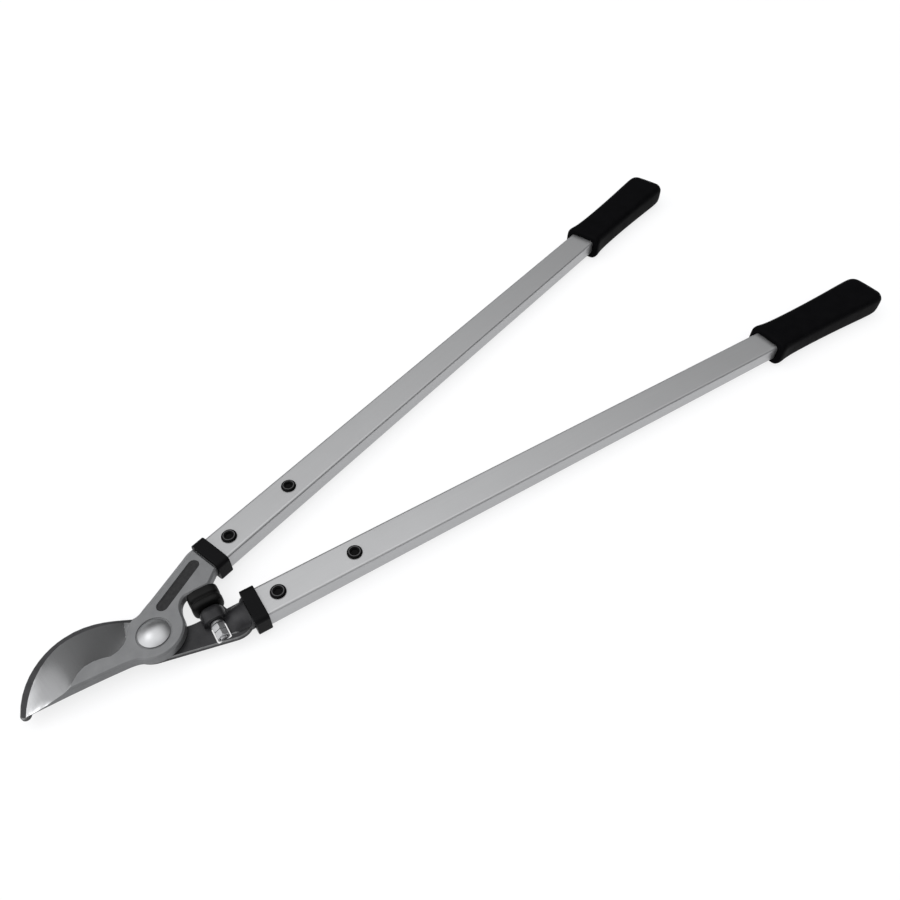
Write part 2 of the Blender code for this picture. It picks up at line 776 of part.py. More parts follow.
def make_hook():
    mesh = plate(hook_outline(), HOOK_BOTTOM, HOOK_TOP, resolution=10)
    chamfer_rim(mesh, HOOK_TOP, HOOK_BEAD)
    chamfer_rim(mesh, HOOK_BOTTOM, HOOK_BEAD)
    hook = finish(mesh, "hook", HOOK_BOSS, FORGED_HOOK)
    join(hook, lug_block())
    join(hook, hook_hump())
    join(hook, tang_cutter("hook_tang", HOOK_HANDLE, ARM_END - 0.003, 0.0))
    cut(hook, window_cutter())
    cut(
        hook,
        cylinder_cutter(
            "hook_bore", HOOK_PIVOT, PIVOT_SHANK_RADIUS + GAP, HOOK_BOTTOM - REACH, HOOK_TOP + REACH,
            steps=FINE,
        ),
    )
    drill = cylinder_mesh(STUD_RADIUS + GAP, LUG_FACE - REACH, LUG_BACK + 0.001, COARSE)
    stud_drill = finish(across_handle(drill), "stud_drill", HOOK_HANDLE, None)
    stud_drill.location = (0, STUD_PLACE, 0)
    cut(hook, stud_drill)
    drill_tang(hook, HOOK_HANDLE, "hook")


# Pivot


def make_pivot():
    dome_top = DOME_BOTTOM + DOME_HEIGHT
    rim = DOME_BOTTOM + DOME_RIM_HEIGHT
    steps = 8
    crown = []
    for index in range(steps + 1):
        angle = math.radians(90) * index / steps
        height = (dome_top - rim) * math.cos(angle)
        crown.append((DOME_RADIUS * math.sin(angle), rim + height))
    thread_top = HOOK_BOTTOM
    turned(
        "pivot_bolt",
        HOOK_PIVOT,
        ZINC,
        [
            *crown,
            (DOME_RADIUS, DOME_BOTTOM),
            (PIVOT_SHANK_RADIUS, DOME_BOTTOM),
            (PIVOT_SHANK_RADIUS, thread_top),
            (PIVOT_THREAD_RADIUS, thread_top),
            (PIVOT_THREAD_RADIUS, 0.0),
            (0.0, 0.0),
        ],
        FINE,
    )
    bush_bottom, bush_top = BLADE_BOTTOM, DOME_BOTTOM - GAP
    turned(
        "pivot_bush",
        HOOK_PIVOT,
        ZINC,
        [
            (BUSH_RADIUS, bush_top),
            (BUSH_RADIUS, bush_bottom),
            (BUSH_BORE, bush_bottom),
            (BUSH_BORE, bush_top),
        ],
        FINE,
    )
    bore = PIVOT_THREAD_RADIUS + GAP
    low = SPRING_WASHER_BOTTOM
    turned(
        "pivot_spring_washer",
        HOOK_PIVOT,
        ZINC,
        [
            (bore, low + SPRING_WASHER_THICKNESS + SPRING_WASHER_RISE),
            (SPRING_WASHER_RADIUS, low + SPRING_WASHER_THICKNESS),
            (SPRING_WASHER_RADIUS, low),
            (bore, low + SPRING_WASHER_RISE),
        ],
        FINE,
    )
    nut = finish(hexagon_mesh(PIVOT_NUT_FLATS, 0, PIVOT_NUT_HEIGHT), "pivot_nut", HOOK_PIVOT, ZINC)
    cut(
        nut,
        cylinder_cutter("pivot_nut_bore", HOOK_PIVOT, bore, -REACH, PIVOT_NUT_HEIGHT + REACH, steps=FINE),
    )


# Bumper


def bumper_section(u, less, points=28):
    """A ring between an ellipse and a rectangle, this much smaller than the full size."""
    ring = []
    for index in range(points):
        angle = 2 * math.pi * index / points
        cos, sin = math.cos(angle), math.sin(angle)
        y = math.copysign(abs(cos) ** (2 / BUMPER_POWER), cos) * (BUMPER_WIDTH / 2 - less)
        z = math.copysign(abs(sin) ** (2 / BUMPER_POWER), sin) * (BUMPER_HEIGHT / 2 - less)
        ring.append((u, y, z))
    return ring


def make_bumper():
    """Two soft lobes with a waist between them, lofted from the face back to the lug."""
    waist = BUMPER_FACE + BUMPER_LENGTH * BUMPER_WAIST_SHARE
    groove = BUMPER_WAIST_DEPTH
    stations = (
        (BUMPER_FACE, BUMPER_ROUND),
        (BUMPER_FACE + BUMPER_ROUND * 0.3, BUMPER_ROUND * 0.3),
        (BUMPER_FACE + BUMPER_ROUND, 0.0),
        (waist - groove * 0.8, 0.0),
        (waist - groove * 0.3, groove * 0.4),
        (waist, groove),
        (waist + groove * 0.3, groove * 0.4),
        (waist + groove * 0.8, 0.0),
        (BUMPER_BACK - BUMPER_ROUND * 1.6, 0.0),
        (BUMPER_BACK - BUMPER_ROUND * 0.5, BUMPER_ROUND * 0.5),
        (BUMPER_BACK, BUMPER_ROUND * 1.6),
    )
    mesh = loft([bumper_section(*station) for station in stations])
    bumper = finish(mesh, "bumper", HOOK_HANDLE, RUBBER)
    bumper.location = (0, STUD_PLACE, 0)
    socket_end = BUMPER_BACK - STUD_IN_BUMPER - GAP
    drill = across_handle(cylinder_mesh(STUD_RADIUS + GAP, socket_end, BUMPER_BACK + REACH, COARSE))
    socket = finish(drill, "bumper_socket", HOOK_HANDLE, None)
    socket.location = (0, STUD_PLACE, 0)
    cut(bumper, socket)


def on_stud(mesh, name, skin):
    made = finish(across_handle(mesh), name, HOOK_HANDLE, skin)
    made.location = (0, STUD_PLACE, 0)
    return made


def make_stud():
    on_stud(
        cylinder_mesh(STUD_RADIUS, BUMPER_BACK - STUD_IN_BUMPER, STUD_END, COARSE), "bumper_stud", ZINC
    )
    bore = STUD_RADIUS + GAP
    drill = on_stud(
        cylinder_mesh(bore, STUD_WASHER_START - REACH, STUD_END + REACH, COARSE), "stud_bore", None
    )
    washer_end = STUD_WASHER_START + STUD_WASHER_THICKNESS
    washer = cylinder_mesh(STUD_NUT_CORNER, STUD_WASHER_START, washer_end, COARSE)
    cut(on_stud(washer, "bumper_washer", ZINC), drill)
    nut = hexagon_mesh(STUD_NUT_FLATS, STUD_NUT_START, STUD_NUT_START + STUD_NUT_HEIGHT)
    cut(on_stud(nut, "bumper_nut", ZINC), drill)
    lock_nut = hexagon_mesh(STUD_NUT_FLATS, LOCK_NUT_START, LOCK_NUT_START + STUD_NUT_HEIGHT)
    cut(on_stud(lock_nut, "bumper_lock_nut", ZINC), drill)


# Handles


def make_collar(name, handle):
    half_width = TUBE_WIDTH / 2 + GAP
    half_height = TUBE_HEIGHT / 2 + GAP
    end = COLLAR_START + COLLAR_LENGTH
    collar = box_along_handle(
        f"collar_{name}", handle, BLACK_PLASTIC,
        half_width + COLLAR_WALL, half_height + COLLAR_WALL, COLLAR_CORNER, COLLAR_START, end,
    )
    bore = box_along_handle(
        f"collar_bore_{name}", handle, None,
        half_width, half_height, TUBE_CORNER, COLLAR_START + COLLAR_FRONT, end + REACH,
    )
    slot = box_along_handle(
        f"collar_slot_{name}", handle, None,
        TANG_WIDTH / 2 + GAP, TANG_HEIGHT / 2 + GAP, 0.0003, COLLAR_START - REACH, end,
    )
    cut(cut(collar, bore), slot)


def make_tube(name, handle):
    """A rolled tube with rounded corners, open at both ends."""
    half_width, half_height = TUBE_WIDTH / 2, TUBE_HEIGHT / 2
    outer = rectangle_outline(half_width, half_height, TUBE_CORNER)
    inner = rectangle_outline(half_width - TUBE_WALL, half_height - TUBE_WALL, TUBE_CORNER - TUBE_WALL)
    mesh = solid_from_curve(flat_curve([outer, inner], 0, TUBE_END - TUBE_START, 4))
    tube = finish(along_handle(mesh, TUBE_START), f"tube_{name}", handle, TUBE_PAINT)
    for place, s in enumerate(SCREW_PLACES):
        top = cylinder_cutter(
            f"tube_top_drill_{name}_{place + 1}", handle, SCREW_SHANK_RADIUS + GAP,
            0, half_height + REACH, y=s,
        )
        bottom = cylinder_cutter(
            f"tube_bottom_drill_{name}_{place + 1}", handle, SLEEVE_RADIUS + GAP,
            -half_height - REACH, 0, y=s,
        )
        cut(cut(tube, top), bottom)


def make_screws(name, handle):
    """A cap screw comes down through the tube's top, a sleeve nut up through its bottom."""
    half_height = TUBE_HEIGHT / 2
    seat = half_height + GAP
    head_top = seat + SCREW_HEAD_HEIGHT
    shank_end = -half_height / 2
    sleeve_top = half_height - TUBE_WALL - GAP
    sleeve_bore = SCREW_SHANK_RADIUS + GAP
    soft = 0.0005
    for place, s in enumerate(SCREW_PLACES):
        number = place + 1
        screw = turned(
            f"screw_{name}_{number}", handle, BLACK_STEEL,
            [
                (0.0, head_top),
                (SCREW_HEAD_RADIUS - soft, head_top),
                (SCREW_HEAD_RADIUS, head_top - soft),
                (SCREW_HEAD_RADIUS, seat),
                (SCREW_SHANK_RADIUS, seat),
                (SCREW_SHANK_RADIUS, shank_end),
                (0.0, shank_end),
            ],
            COARSE,
        )
        screw.location = (0, s, 0)
        socket = finish(
            hexagon_mesh(SCREW_SOCKET_FLATS, head_top - SCREW_HEAD_HEIGHT * 0.6, head_top + REACH),
            f"screw_socket_{name}_{number}", handle, None,
        )
        socket.location = (0, s, 0)
        cut(screw, socket)
        sleeve = turned(
            f"sleeve_nut_{name}_{number}", handle, BLACK_STEEL,
            [
                (sleeve_bore, sleeve_top),
                (SLEEVE_RADIUS, sleeve_top),
                (SLEEVE_RADIUS, -seat),
                (SCREW_HEAD_RADIUS, -seat),
                (SCREW_HEAD_RADIUS, soft - seat - SLEEVE_HEAD_HEIGHT),
                (SCREW_HEAD_RADIUS - soft, -seat - SLEEVE_HEAD_HEIGHT),
                (sleeve_bore, -seat - SLEEVE_HEAD_HEIGHT),
            ],
            COARSE,
        )
        sleeve.location = (0, s, 0)


def grip_sections():
    """A flange, a slim neck, a fuller waist and a swollen end with a round nose."""
    lip = GRIP_LIP
    stations = [
        (0.0, GRIP_FLANGE_WIDTH - 2 * lip, GRIP_FLANGE_HEIGHT - 2 * lip),
        (lip / 2, GRIP_FLANGE_WIDTH - lip / 2, GRIP_FLANGE_HEIGHT - lip / 2),
        (2 * lip, GRIP_FLANGE_WIDTH, GRIP_FLANGE_HEIGHT),
        (GRIP_FLANGE_LENGTH, GRIP_FLANGE_WIDTH, GRIP_FLANGE_HEIGHT),
        (GRIP_NECK_PLACE, GRIP_NECK_WIDTH, GRIP_NECK_HEIGHT),
        (GRIP_LENGTH - GRIP_WAIST_REACH, GRIP_WAIST_WIDTH, GRIP_WAIST_HEIGHT),
        (GRIP_LENGTH - GRIP_END_REACH, GRIP_END_WIDTH, GRIP_END_HEIGHT),
    ]
    nose_start = GRIP_LENGTH - GRIP_NOSE
    steps = 5
    for index in range(steps + 1):
        angle = math.radians(90) * index / steps
        place = nose_start + GRIP_NOSE * math.sin(angle)
        less = 2 * (1 - math.cos(angle))
        width = GRIP_END_WIDTH - GRIP_NOSE * less
        stations.append((place, width, GRIP_END_HEIGHT - GRIP_NOSE_RISE * less))
    for place, width, height in stations:
        corner = min(GRIP_CORNER, width / 2 - 0.0005, height / 2 - 0.0005)
        ring = rounded_rectangle(width / 2, height / 2, corner, 5)
        yield [(x, GRIP_START + place, z) for x, z in ring]


def make_grip(name, handle):
    grip = finish(loft(list(grip_sections())), f"grip_{name}", handle, BLACK_PLASTIC)
    bore = box_along_handle(
        f"grip_bore_{name}", handle, None,
        TUBE_WIDTH / 2 + GAP, TUBE_HEIGHT / 2 + GAP, TUBE_CORNER, GRIP_START - REACH, TUBE_END + GAP,
    )
    cut(grip, bore)


def make_handle(name, handle):
    make_collar(name, handle)
    make_tube(name, handle)
    make_screws(name, handle)
    make_grip(name, handle)


make_hook()
make_blade()
make_pivot()
make_bumper()
make_stud()
make_handle("hook_side", HOOK_HANDLE)
make_handle("blade_side", BLADE_HANDLE)

for piece in LOPPER.objects:
    if piece.type == "MESH":
        shade(piece.data)
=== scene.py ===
# %% [markdown]
# # A bypass lopper in metal, rubber and plastic
# The lopper lies closed on a white table: a forged blade over a dark forged hook, two long
# aluminium tubes, black collars and grips, and a rubber stop between the arms. Its solid model
# is already there, in real sizes. This lesson loads that model and gives each piece its fine
# edges and its finish. Everything is in metres, and the pivot bolt stands at the origin.

# %% Load the solid model
import math

import bmesh
import bpy
from mathutils import Matrix, Vector


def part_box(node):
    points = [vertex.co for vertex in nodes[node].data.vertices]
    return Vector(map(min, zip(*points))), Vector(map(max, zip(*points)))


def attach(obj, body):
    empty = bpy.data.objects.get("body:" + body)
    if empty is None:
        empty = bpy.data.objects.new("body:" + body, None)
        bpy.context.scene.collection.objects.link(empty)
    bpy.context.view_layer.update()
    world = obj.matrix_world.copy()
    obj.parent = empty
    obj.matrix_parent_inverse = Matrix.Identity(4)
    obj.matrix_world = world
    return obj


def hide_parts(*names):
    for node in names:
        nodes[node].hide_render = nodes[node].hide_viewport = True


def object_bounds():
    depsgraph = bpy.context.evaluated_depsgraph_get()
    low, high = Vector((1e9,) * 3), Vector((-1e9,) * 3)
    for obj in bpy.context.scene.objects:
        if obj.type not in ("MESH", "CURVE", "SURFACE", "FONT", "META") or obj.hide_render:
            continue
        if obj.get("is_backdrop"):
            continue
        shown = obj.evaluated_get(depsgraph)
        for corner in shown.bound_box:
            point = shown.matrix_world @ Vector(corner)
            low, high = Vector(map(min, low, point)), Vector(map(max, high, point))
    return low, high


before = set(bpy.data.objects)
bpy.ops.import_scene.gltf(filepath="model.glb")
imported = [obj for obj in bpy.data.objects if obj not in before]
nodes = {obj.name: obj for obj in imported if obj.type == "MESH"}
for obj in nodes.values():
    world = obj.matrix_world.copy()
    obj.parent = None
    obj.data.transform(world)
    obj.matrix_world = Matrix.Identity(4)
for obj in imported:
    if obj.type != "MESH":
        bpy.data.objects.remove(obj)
cad_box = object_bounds()
SIDES = ("hook_side", "blade_side")
print("pieces of the solid model:", len(nodes))

# %% [markdown]
# ## Working by hand, in code
# An operator acts on whatever is selected, and the solids come in selected. So they are let go
# first, and there are small helpers: one selects a single object and makes it active, one opens
# it in edit mode and closes it again, and one picks faces, edges or points of its mesh, by a
# test on where they are or which way they face. A modifier is applied as soon as it is set.


# %% Select one object, or parts of a mesh
def deselect_all():
    for piece in bpy.context.selected_objects:
        piece.select_set(False)


def select_only(piece):
    deselect_all()
    piece.select_set(True)
    bpy.context.view_layer.objects.active = piece


class Editing:
    """Opens a piece in edit mode, alone, and closes it again."""

    def __init__(self, piece):
        select_only(piece)

    def __enter__(self):
        bpy.ops.object.mode_set(mode="EDIT")

    def __exit__(self, *problem):
        bpy.ops.object.mode_set(mode="OBJECT")


def pick(kind, test):
    """In edit mode, selects the vertices, edges or faces that pass a test, and counts them."""
    bpy.ops.mesh.select_mode(type=kind)
    bpy.ops.mesh.select_all(action="DESELECT")
    mesh = bpy.context.edit_object.data
    bm = bmesh.from_edit_mesh(mesh)
    parts = {"VERT": bm.verts, "EDGE": bm.edges, "FACE": bm.faces}[kind]
    chosen = [part for part in parts if test(part)]
    for part in chosen:
        part.select_set(True)
    bmesh.update_edit_mesh(mesh)
    return len(chosen)


def add_modifier(piece, kind, **settings):
    """Adds a modifier with these settings and applies it at once."""
    modifier = piece.modifiers.new(kind.lower(), kind)
    for name, value in settings.items():
        setattr(modifier, name, value)
    select_only(piece)
    bpy.ops.object.modifier_apply(modifier=modifier.name)


deselect_all()
print("objects still selected:", len(bpy.context.selected_objects))

# %% [markdown]
# ## Where the handles run
# Each handle slants away from the middle line. The tube's own mesh says how: the middle of its
# front end and the middle of its back end give the axis. A matrix for each handle then takes a
# piece that was made upright at the origin, with Y along the tube, to its place.


# %% A matrix for each handle
UP = Vector((0, 0, 1))
END_REACH = 0.010


def ring_middle(node, low):
    """The middle of the ring of points at the front or the back end of a tube."""
    points = {tuple(round(part, 6) for part in vertex.co) for vertex in nodes[node].data.vertices}
    end = (min if low else max)(point[1] for point in points)
    ring = [Vector(point) for point in points if abs(point[1] - end) < END_REACH]
    return sum(ring, Vector()) / len(ring)


def handle_matrix(side):
    front = ring_middle(f"tube_{side}", low=True)
    back = ring_middle(f"tube_{side}", low=False)
    along = (back - front).normalized()
    turn = Matrix((along.cross(UP), along, UP)).transposed().to_4x4()
    print(f"{side} leans {math.degrees(math.atan2(along.x, along.y)):.3f} degrees")
    return Matrix.Translation(front) @ turn


handles = {side: handle_matrix(side) for side in SIDES}


def box_on_handle(node, side):
    """A node's lowest and highest corner, measured along and across its handle."""
    to_handle = handles[side].inverted()
    points = [to_handle @ vertex.co for vertex in nodes[node].data.vertices]
    return Vector(map(min, *points)), Vector(map(max, *points))


for side in SIDES:
    low, high = box_on_handle(f"tube_{side}", side)
    print(side, "tube, across, along and up:", [round(size * 1000, 1) for size in high - low])

# %% [markdown]
# ## Finishes
# Every finish is a Principled shader whose colour, roughness and bump come from a few noise
# textures in Object coordinates. The pieces are modelled in place, so these coordinates are
# real metres: a scale of 1000 makes a speckle of about a millimetre. The helpers below keep
# each finish short: one makes a noise, one spreads it between two values, one makes a bump.


# %% Small building blocks for the shaders
def map_range(tree, value, span, levels):
    """Takes a value within a span to one between two levels."""
    made = tree.nodes.new("ShaderNodeMapRange")
    tree.links.new(value, made.inputs["Value"])
    for name, number in zip(("From Min", "From Max", "To Min", "To Max"), (*span, *levels)):
        made.inputs[name].default_value = number
    return made.outputs["Result"]


class Finish:
    """A material under construction, with its Principled shader and its object coordinates."""

    def __init__(self, name, colour, roughness, metallic=0.0, sheen=0.5):
        self.material = bpy.data.materials.new(name)
        self.material.use_nodes = True
        self.tree = self.material.node_tree
        self.shader = self.tree.nodes["Principled BSDF"]
        self.shader.inputs["Base Color"].default_value = (*colour, 1)
        self.shader.inputs["Roughness"].default_value = roughness
        self.shader.inputs["Metallic"].default_value = metallic
        self.shader.inputs["Specular IOR Level"].default_value = sheen
        self.place = self.tree.nodes.new("ShaderNodeTexCoord").outputs["Object"]

    def node(self, kind, **settings):
        made = self.tree.nodes.new(kind)
        for name, value in settings.items():
            setattr(made, name, value)
        return made

    def link(self, output, target):
        self.tree.links.new(output, target)

    def stretched(self, scale, turn=0.0):
        """Object coordinates, turned about Z and then stretched along the axes."""
        mapping = self.node("ShaderNodeMapping", vector_type="TEXTURE")
        self.link(self.place, mapping.inputs["Vector"])
        mapping.inputs["Rotation"].default_value = (0, 0, turn)
        mapping.inputs["Scale"].default_value = scale
        return mapping.outputs["Vector"]

    def noise(self, scale, detail=3.0, coordinates=None, roughness=0.55):
        made = self.node("ShaderNodeTexNoise")
        self.link(coordinates or self.place, made.inputs["Vector"])
        made.inputs["Scale"].default_value = scale
        made.inputs["Detail"].default_value = detail
        made.inputs["Roughness"].default_value = roughness
        return made.outputs["Fac"]

    def spread(self, value, low, high, start=0.3, end=0.7):
        """Takes a value between start and end to one between low and high."""
        return map_range(self.tree, value, (start, end), (low, high))

    def blend(self, share, low, high):
        """Mixes two colours, or a colour and an output, by a share."""
        made = self.node("ShaderNodeMix", data_type="RGBA")
        self.link(share, made.inputs["Factor"])
        for socket, colour in ((made.inputs["A"], low), (made.inputs["B"], high)):
            if isinstance(colour, tuple):
                socket.default_value = (*colour, 1)
            else:
                self.link(colour, socket)
        return made.outputs["Result"]

    def bump(self, height, distance, strength=1.0, under=None):
        made = self.node("ShaderNodeBump")
        self.link(height, made.inputs["Height"])
        made.inputs["Distance"].default_value = distance
        made.inputs["Strength"].default_value = strength
        if under is not None:
            self.link(under, made.inputs["Normal"])
        return made.outputs["Normal"]

    def colour_from(self, output):
        self.link(output, self.shader.inputs["Base Color"])

    def mottle(self, pattern, low, high):
        """Lets the colour drift between two shades with a pattern."""
        self.colour_from(self.blend(self.spread(pattern, 0, 1), low, high))

    def roughen(self, pattern, low, high):
        """Lets the roughness drift between two values with a pattern."""
        self.link(self.spread(pattern, low, high), self.shader.inputs["Roughness"])

    def normal_from(self, output):
        self.link(output, self.shader.inputs["Normal"])


# %% [markdown]
# ### Forged steel, coated grey
# The blade comes out of the forging die with a fine orange-peel skin, is blasted and coated
# grey. It looks even from afar, so the mottling is faint. The skin is a shallow bump of two
# sizes.


# %% Coated blade steel
def coated_steel():
    finish = Finish("coated_forged_steel", (0.185, 0.188, 0.193), roughness=0.44, metallic=0.4)
    cloud = finish.noise(scale=110, detail=4)
    grit = finish.noise(scale=2400, detail=2)
    finish.mottle(cloud, (0.170, 0.173, 0.178), (0.200, 0.203, 0.208))
    finish.roughen(grit, 0.38, 0.50)
    skin = finish.bump(finish.noise(scale=620, detail=3), distance=0.00006, strength=0.6)
    finish.normal_from(finish.bump(grit, distance=0.00003, strength=0.5, under=skin))
    return finish.material


# %% [markdown]
# ### Ground steel
# The bevel is ground on a wide wheel, which leaves fine lines square to the cutting edge. The
# lines are two noises that are stretched about a hundredfold along one direction.


# %% Ground bevel steel
def ground_steel():
    finish = Finish("ground_bevel_steel", (0.53, 0.535, 0.545), roughness=0.14, metallic=1.0)
    grooves = finish.stretched((0.030, 0.0004, 0.030), turn=0.05)
    lines = finish.noise(scale=1.0, detail=2, coordinates=grooves)
    hairs = finish.stretched((0.040, 0.00015, 0.040), turn=0.02)
    fine = finish.noise(scale=1.0, detail=2, coordinates=hairs)
    finish.mottle(lines, (0.515, 0.52, 0.53), (0.545, 0.55, 0.56))
    finish.roughen(fine, 0.12, 0.16)
    finish.normal_from(finish.bump(fine, distance=0.000004, strength=0.3))
    return finish.material


# %% [markdown]
# ### Blackened steel of the hook
# The hook is forged too, and then blackened. The black turns a little greyer from the pivot to
# the jaw, along the Y axis. The chamfer that faces the user gets a lighter satin grey, a painted
# highlight. The long recess on the blade's arm is painted black inside.


# %% Blackened and worn hook steel
def blackened_steel():
    base = (0.020, 0.020, 0.022)
    finish = Finish("blackened_forged_steel", base, roughness=0.40, metallic=0.3, sheen=0.35)
    cloud = finish.noise(scale=140, detail=4)
    grit = finish.noise(scale=2200, detail=2)
    split = finish.node("ShaderNodeSeparateXYZ")
    finish.link(finish.place, split.inputs["Vector"])
    # The black turns greyer from the pivot towards the jaw, along the Y axis.
    greyer_to_jaw = finish.spread(split.outputs["Y"], 0, 1, start=-0.010, end=-0.022)
    black = finish.blend(finish.spread(cloud, 0, 1), (0.013, 0.013, 0.015), (0.028, 0.028, 0.030))
    grey = finish.blend(finish.spread(cloud, 0, 1), (0.024, 0.024, 0.026), (0.042, 0.042, 0.045))
    finish.colour_from(finish.blend(greyer_to_jaw, black, grey))
    finish.roughen(cloud, 0.33, 0.46)
    skin = finish.bump(finish.noise(scale=700, detail=3), distance=0.00007, strength=0.6)
    finish.normal_from(finish.bump(grit, distance=0.00003, strength=0.5, under=skin))
    return finish.material


# A lighter grey for the hook's chamfer that faces the user: a painted highlight.
def painted_highlight_edge():
    finish = Finish("rubbed_edge_steel", (0.20, 0.202, 0.207), roughness=0.36, metallic=0.7)
    cloud = finish.noise(scale=190, detail=4)
    finish.mottle(cloud, (0.15, 0.151, 0.154), (0.25, 0.252, 0.257))
    finish.normal_from(finish.bump(finish.noise(scale=1800, detail=2), distance=0.00003, strength=0.5))
    return finish.material


def recess_paint():
    finish = Finish("black_recess_paint", (0.017, 0.017, 0.018), roughness=0.50, sheen=0.25)
    cloud = finish.noise(scale=420, detail=4)
    finish.mottle(cloud, (0.012, 0.012, 0.013), (0.024, 0.024, 0.025))
    finish.normal_from(finish.bump(finish.noise(scale=900, detail=3), distance=0.00008, strength=0.6))
    return finish.material


# %% [markdown]
# ### Aluminium tube
# The tubes are drawn and anodised. Drawing leaves hair-fine lines along the tube, and anodising
# a soft, even sheen. Each handle slants the other way, so each has a material of its own, with
# its lines turned to run along it.


# %% Anodised aluminium
def anodised(side):
    lean = math.atan2(handles[side][0][1], handles[side][1][1])
    finish = Finish(f"anodised_aluminium_{side}", (0.44, 0.443, 0.45), roughness=0.36, metallic=0.8)
    along = finish.stretched((0.00022, 0.05, 0.00022), turn=-lean)
    lines = finish.noise(scale=1.0, detail=2, coordinates=along)
    cloud = finish.noise(scale=45, detail=3)
    finish.mottle(lines, (0.43, 0.433, 0.44), (0.45, 0.453, 0.46))
    finish.roughen(cloud, 0.34, 0.38)
    finish.normal_from(finish.bump(lines, distance=0.000008, strength=0.25))
    return finish.material


# %% [markdown]
# ### Plastic, rubber and small steel
# The collars and the grips are moulded in black plastic with a fine spark-eroded grain, the
# stop is matt rubber, the screws are black oxide with a painted highlight on the rim, and the
# bolt, the nuts and the stud are zinc plated. They differ in how dark, how rough and how grainy they are.


# %% Black plastic, rubber and plated steel
CLOUD_LIGHTER = 1.35


def black_skin(name, colour, roughness, sheen, grain):
    """A dark finish: its sheen is the shader's specular level, its grain the scale of its pores."""
    finish = Finish(name, colour, roughness, sheen=sheen)
    pores = finish.noise(grain, detail=2)
    cloud = finish.noise(scale=90, detail=3)
    finish.roughen(cloud, roughness - 0.05, roughness + 0.06)
    lighter = tuple(part * CLOUD_LIGHTER for part in colour)
    finish.mottle(cloud, colour, lighter)
    finish.normal_from(finish.bump(pores, distance=0.00003, strength=0.35))
    return finish.material


def zinc_plate():
    finish = Finish("zinc_plate", (0.47, 0.475, 0.485), roughness=0.36, metallic=1.0)
    cloud = finish.noise(scale=260, detail=4)
    finish.mottle(cloud, (0.45, 0.455, 0.465), (0.49, 0.495, 0.505))
    finish.roughen(cloud, 0.33, 0.40)
    return finish.material


BLADE_COAT = coated_steel()
GROUND = ground_steel()
HOOK_BLACK = blackened_steel()
ZINC = zinc_plate()
TUBES = {side: anodised(side) for side in SIDES}
# The lighter chamfer finish of the hook is a painted highlight.
PAINTED_HIGHLIGHT_EDGE = painted_highlight_edge()
RECESS_PAINT = recess_paint()
COLLAR_PLASTIC = black_skin("collar_plastic", (0.004, 0.004, 0.0045), 0.42, 0.06, 1800)
GRIP_PLASTIC = black_skin("grip_skin", (0.0028, 0.0028, 0.0032), 0.45, 0.010, 1500)
BLACK_OXIDE = black_skin("black_oxide", (0.002, 0.002, 0.0022), 0.30, 0.05, 2500)
# The lighter oxide on the screw rims is a painted highlight.
PAINTED_HIGHLIGHT_OXIDE = black_skin("painted_highlight_oxide", (0.050, 0.050, 0.052), 0.30, 0.30, 2500)
RUBBER = black_skin("stop_rubber", (0.0035, 0.0035, 0.0035), 0.50, 0.15, 1300)
print("finishes:", len(bpy.data.materials))


# %% [markdown]
# ## From a solid to a finished piece
# The forgings, the tubes and the collars already have the right outlines. What they lack is the
# small rounding that every real edge has, and that catches the light. So a copy of the solid is
# welded, its flat areas are joined into single faces, and its sharp edges get a narrow bevel.
# The solid stays in the file, hidden, and the copy stands for it.


# %% Copy a solid and round its edges
SLIVER = 0.00004
FLAT_WITHIN = math.radians(0.6)
SHARP = math.radians(28)
FLAT_FACE_WEIGHT = 80


def place_piece(piece, body, slot, *stands_for):
    """Hands a finished piece to its body, and hides the solids it stands for."""
    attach(piece, body)
    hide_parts(*stands_for)
    print(f"{piece.name}: {len(piece.data.polygons)} faces")


def smooth(piece, degrees=30):
    """Shades a piece smooth up to this angle, with the large flat faces kept flat."""
    select_only(piece)
    bpy.ops.object.shade_smooth_by_angle(angle=math.radians(degrees))
    add_modifier(piece, "WEIGHTED_NORMAL", keep_sharp=True, weight=FLAT_FACE_WEIGHT)


def copied(piece, name):
    """A copy of a piece, with a mesh of its own."""
    twin = bpy.data.objects.new(name, piece.data.copy())
    bpy.context.scene.collection.objects.link(twin)
    return twin


def clean_copy(node, name, *finishes):
    """A copy of a solid, with slivers welded away and its flat areas joined."""
    piece = copied(nodes[node], name)
    piece.data.materials.clear()
    for finish in finishes:
        piece.data.materials.append(finish)
    with Editing(piece):
        bpy.ops.mesh.select_all(action="SELECT")
        bpy.ops.mesh.remove_doubles(threshold=SLIVER)
        bpy.ops.mesh.dissolve_limited(angle_limit=FLAT_WITHIN)
    return piece


def is_sharp(edge):
    return len(edge.link_faces) == 2 and edge.calc_face_angle() > SHARP


def round_edges(piece, width, segments=2, test=is_sharp):
    """Gives each edge that passes the test a narrow rounded bevel."""
    with Editing(piece):
        count = pick("EDGE", test)
        bpy.ops.transform.edge_bevelweight(value=1)
    add_modifier(
        piece, "BEVEL", width=width, segments=segments, limit_method="WEIGHT",
        use_clamp_overlap=False, miter_outer="MITER_ARC",
    )
    print(f"{piece.name}: {count} edges rounded by {width * 1000:.2f} mm")


def finished_copy(node, name, finish, width, segments=2):
    piece = clean_copy(node, name, finish)
    round_edges(piece, width, segments)
    smooth(piece)
    return piece


# %% [markdown]
# ## The blade
# The blade is one forging with three finishes: coated on the outside, bare where the wheel
# ground the bevel, and painted in the long recess. The ground faces are found by their normal.
# They lean towards the cutting edge. At the boss the bevel runs out into a steep fillet, which
# is coated again, so the faces are cut along a straight line there. The forging's chamfers
# stand at exactly 45 degrees, so they are told apart. The floor of the recess is the only level
# face just below the top. The coat is the first finish, and what isn't picked keeps it.

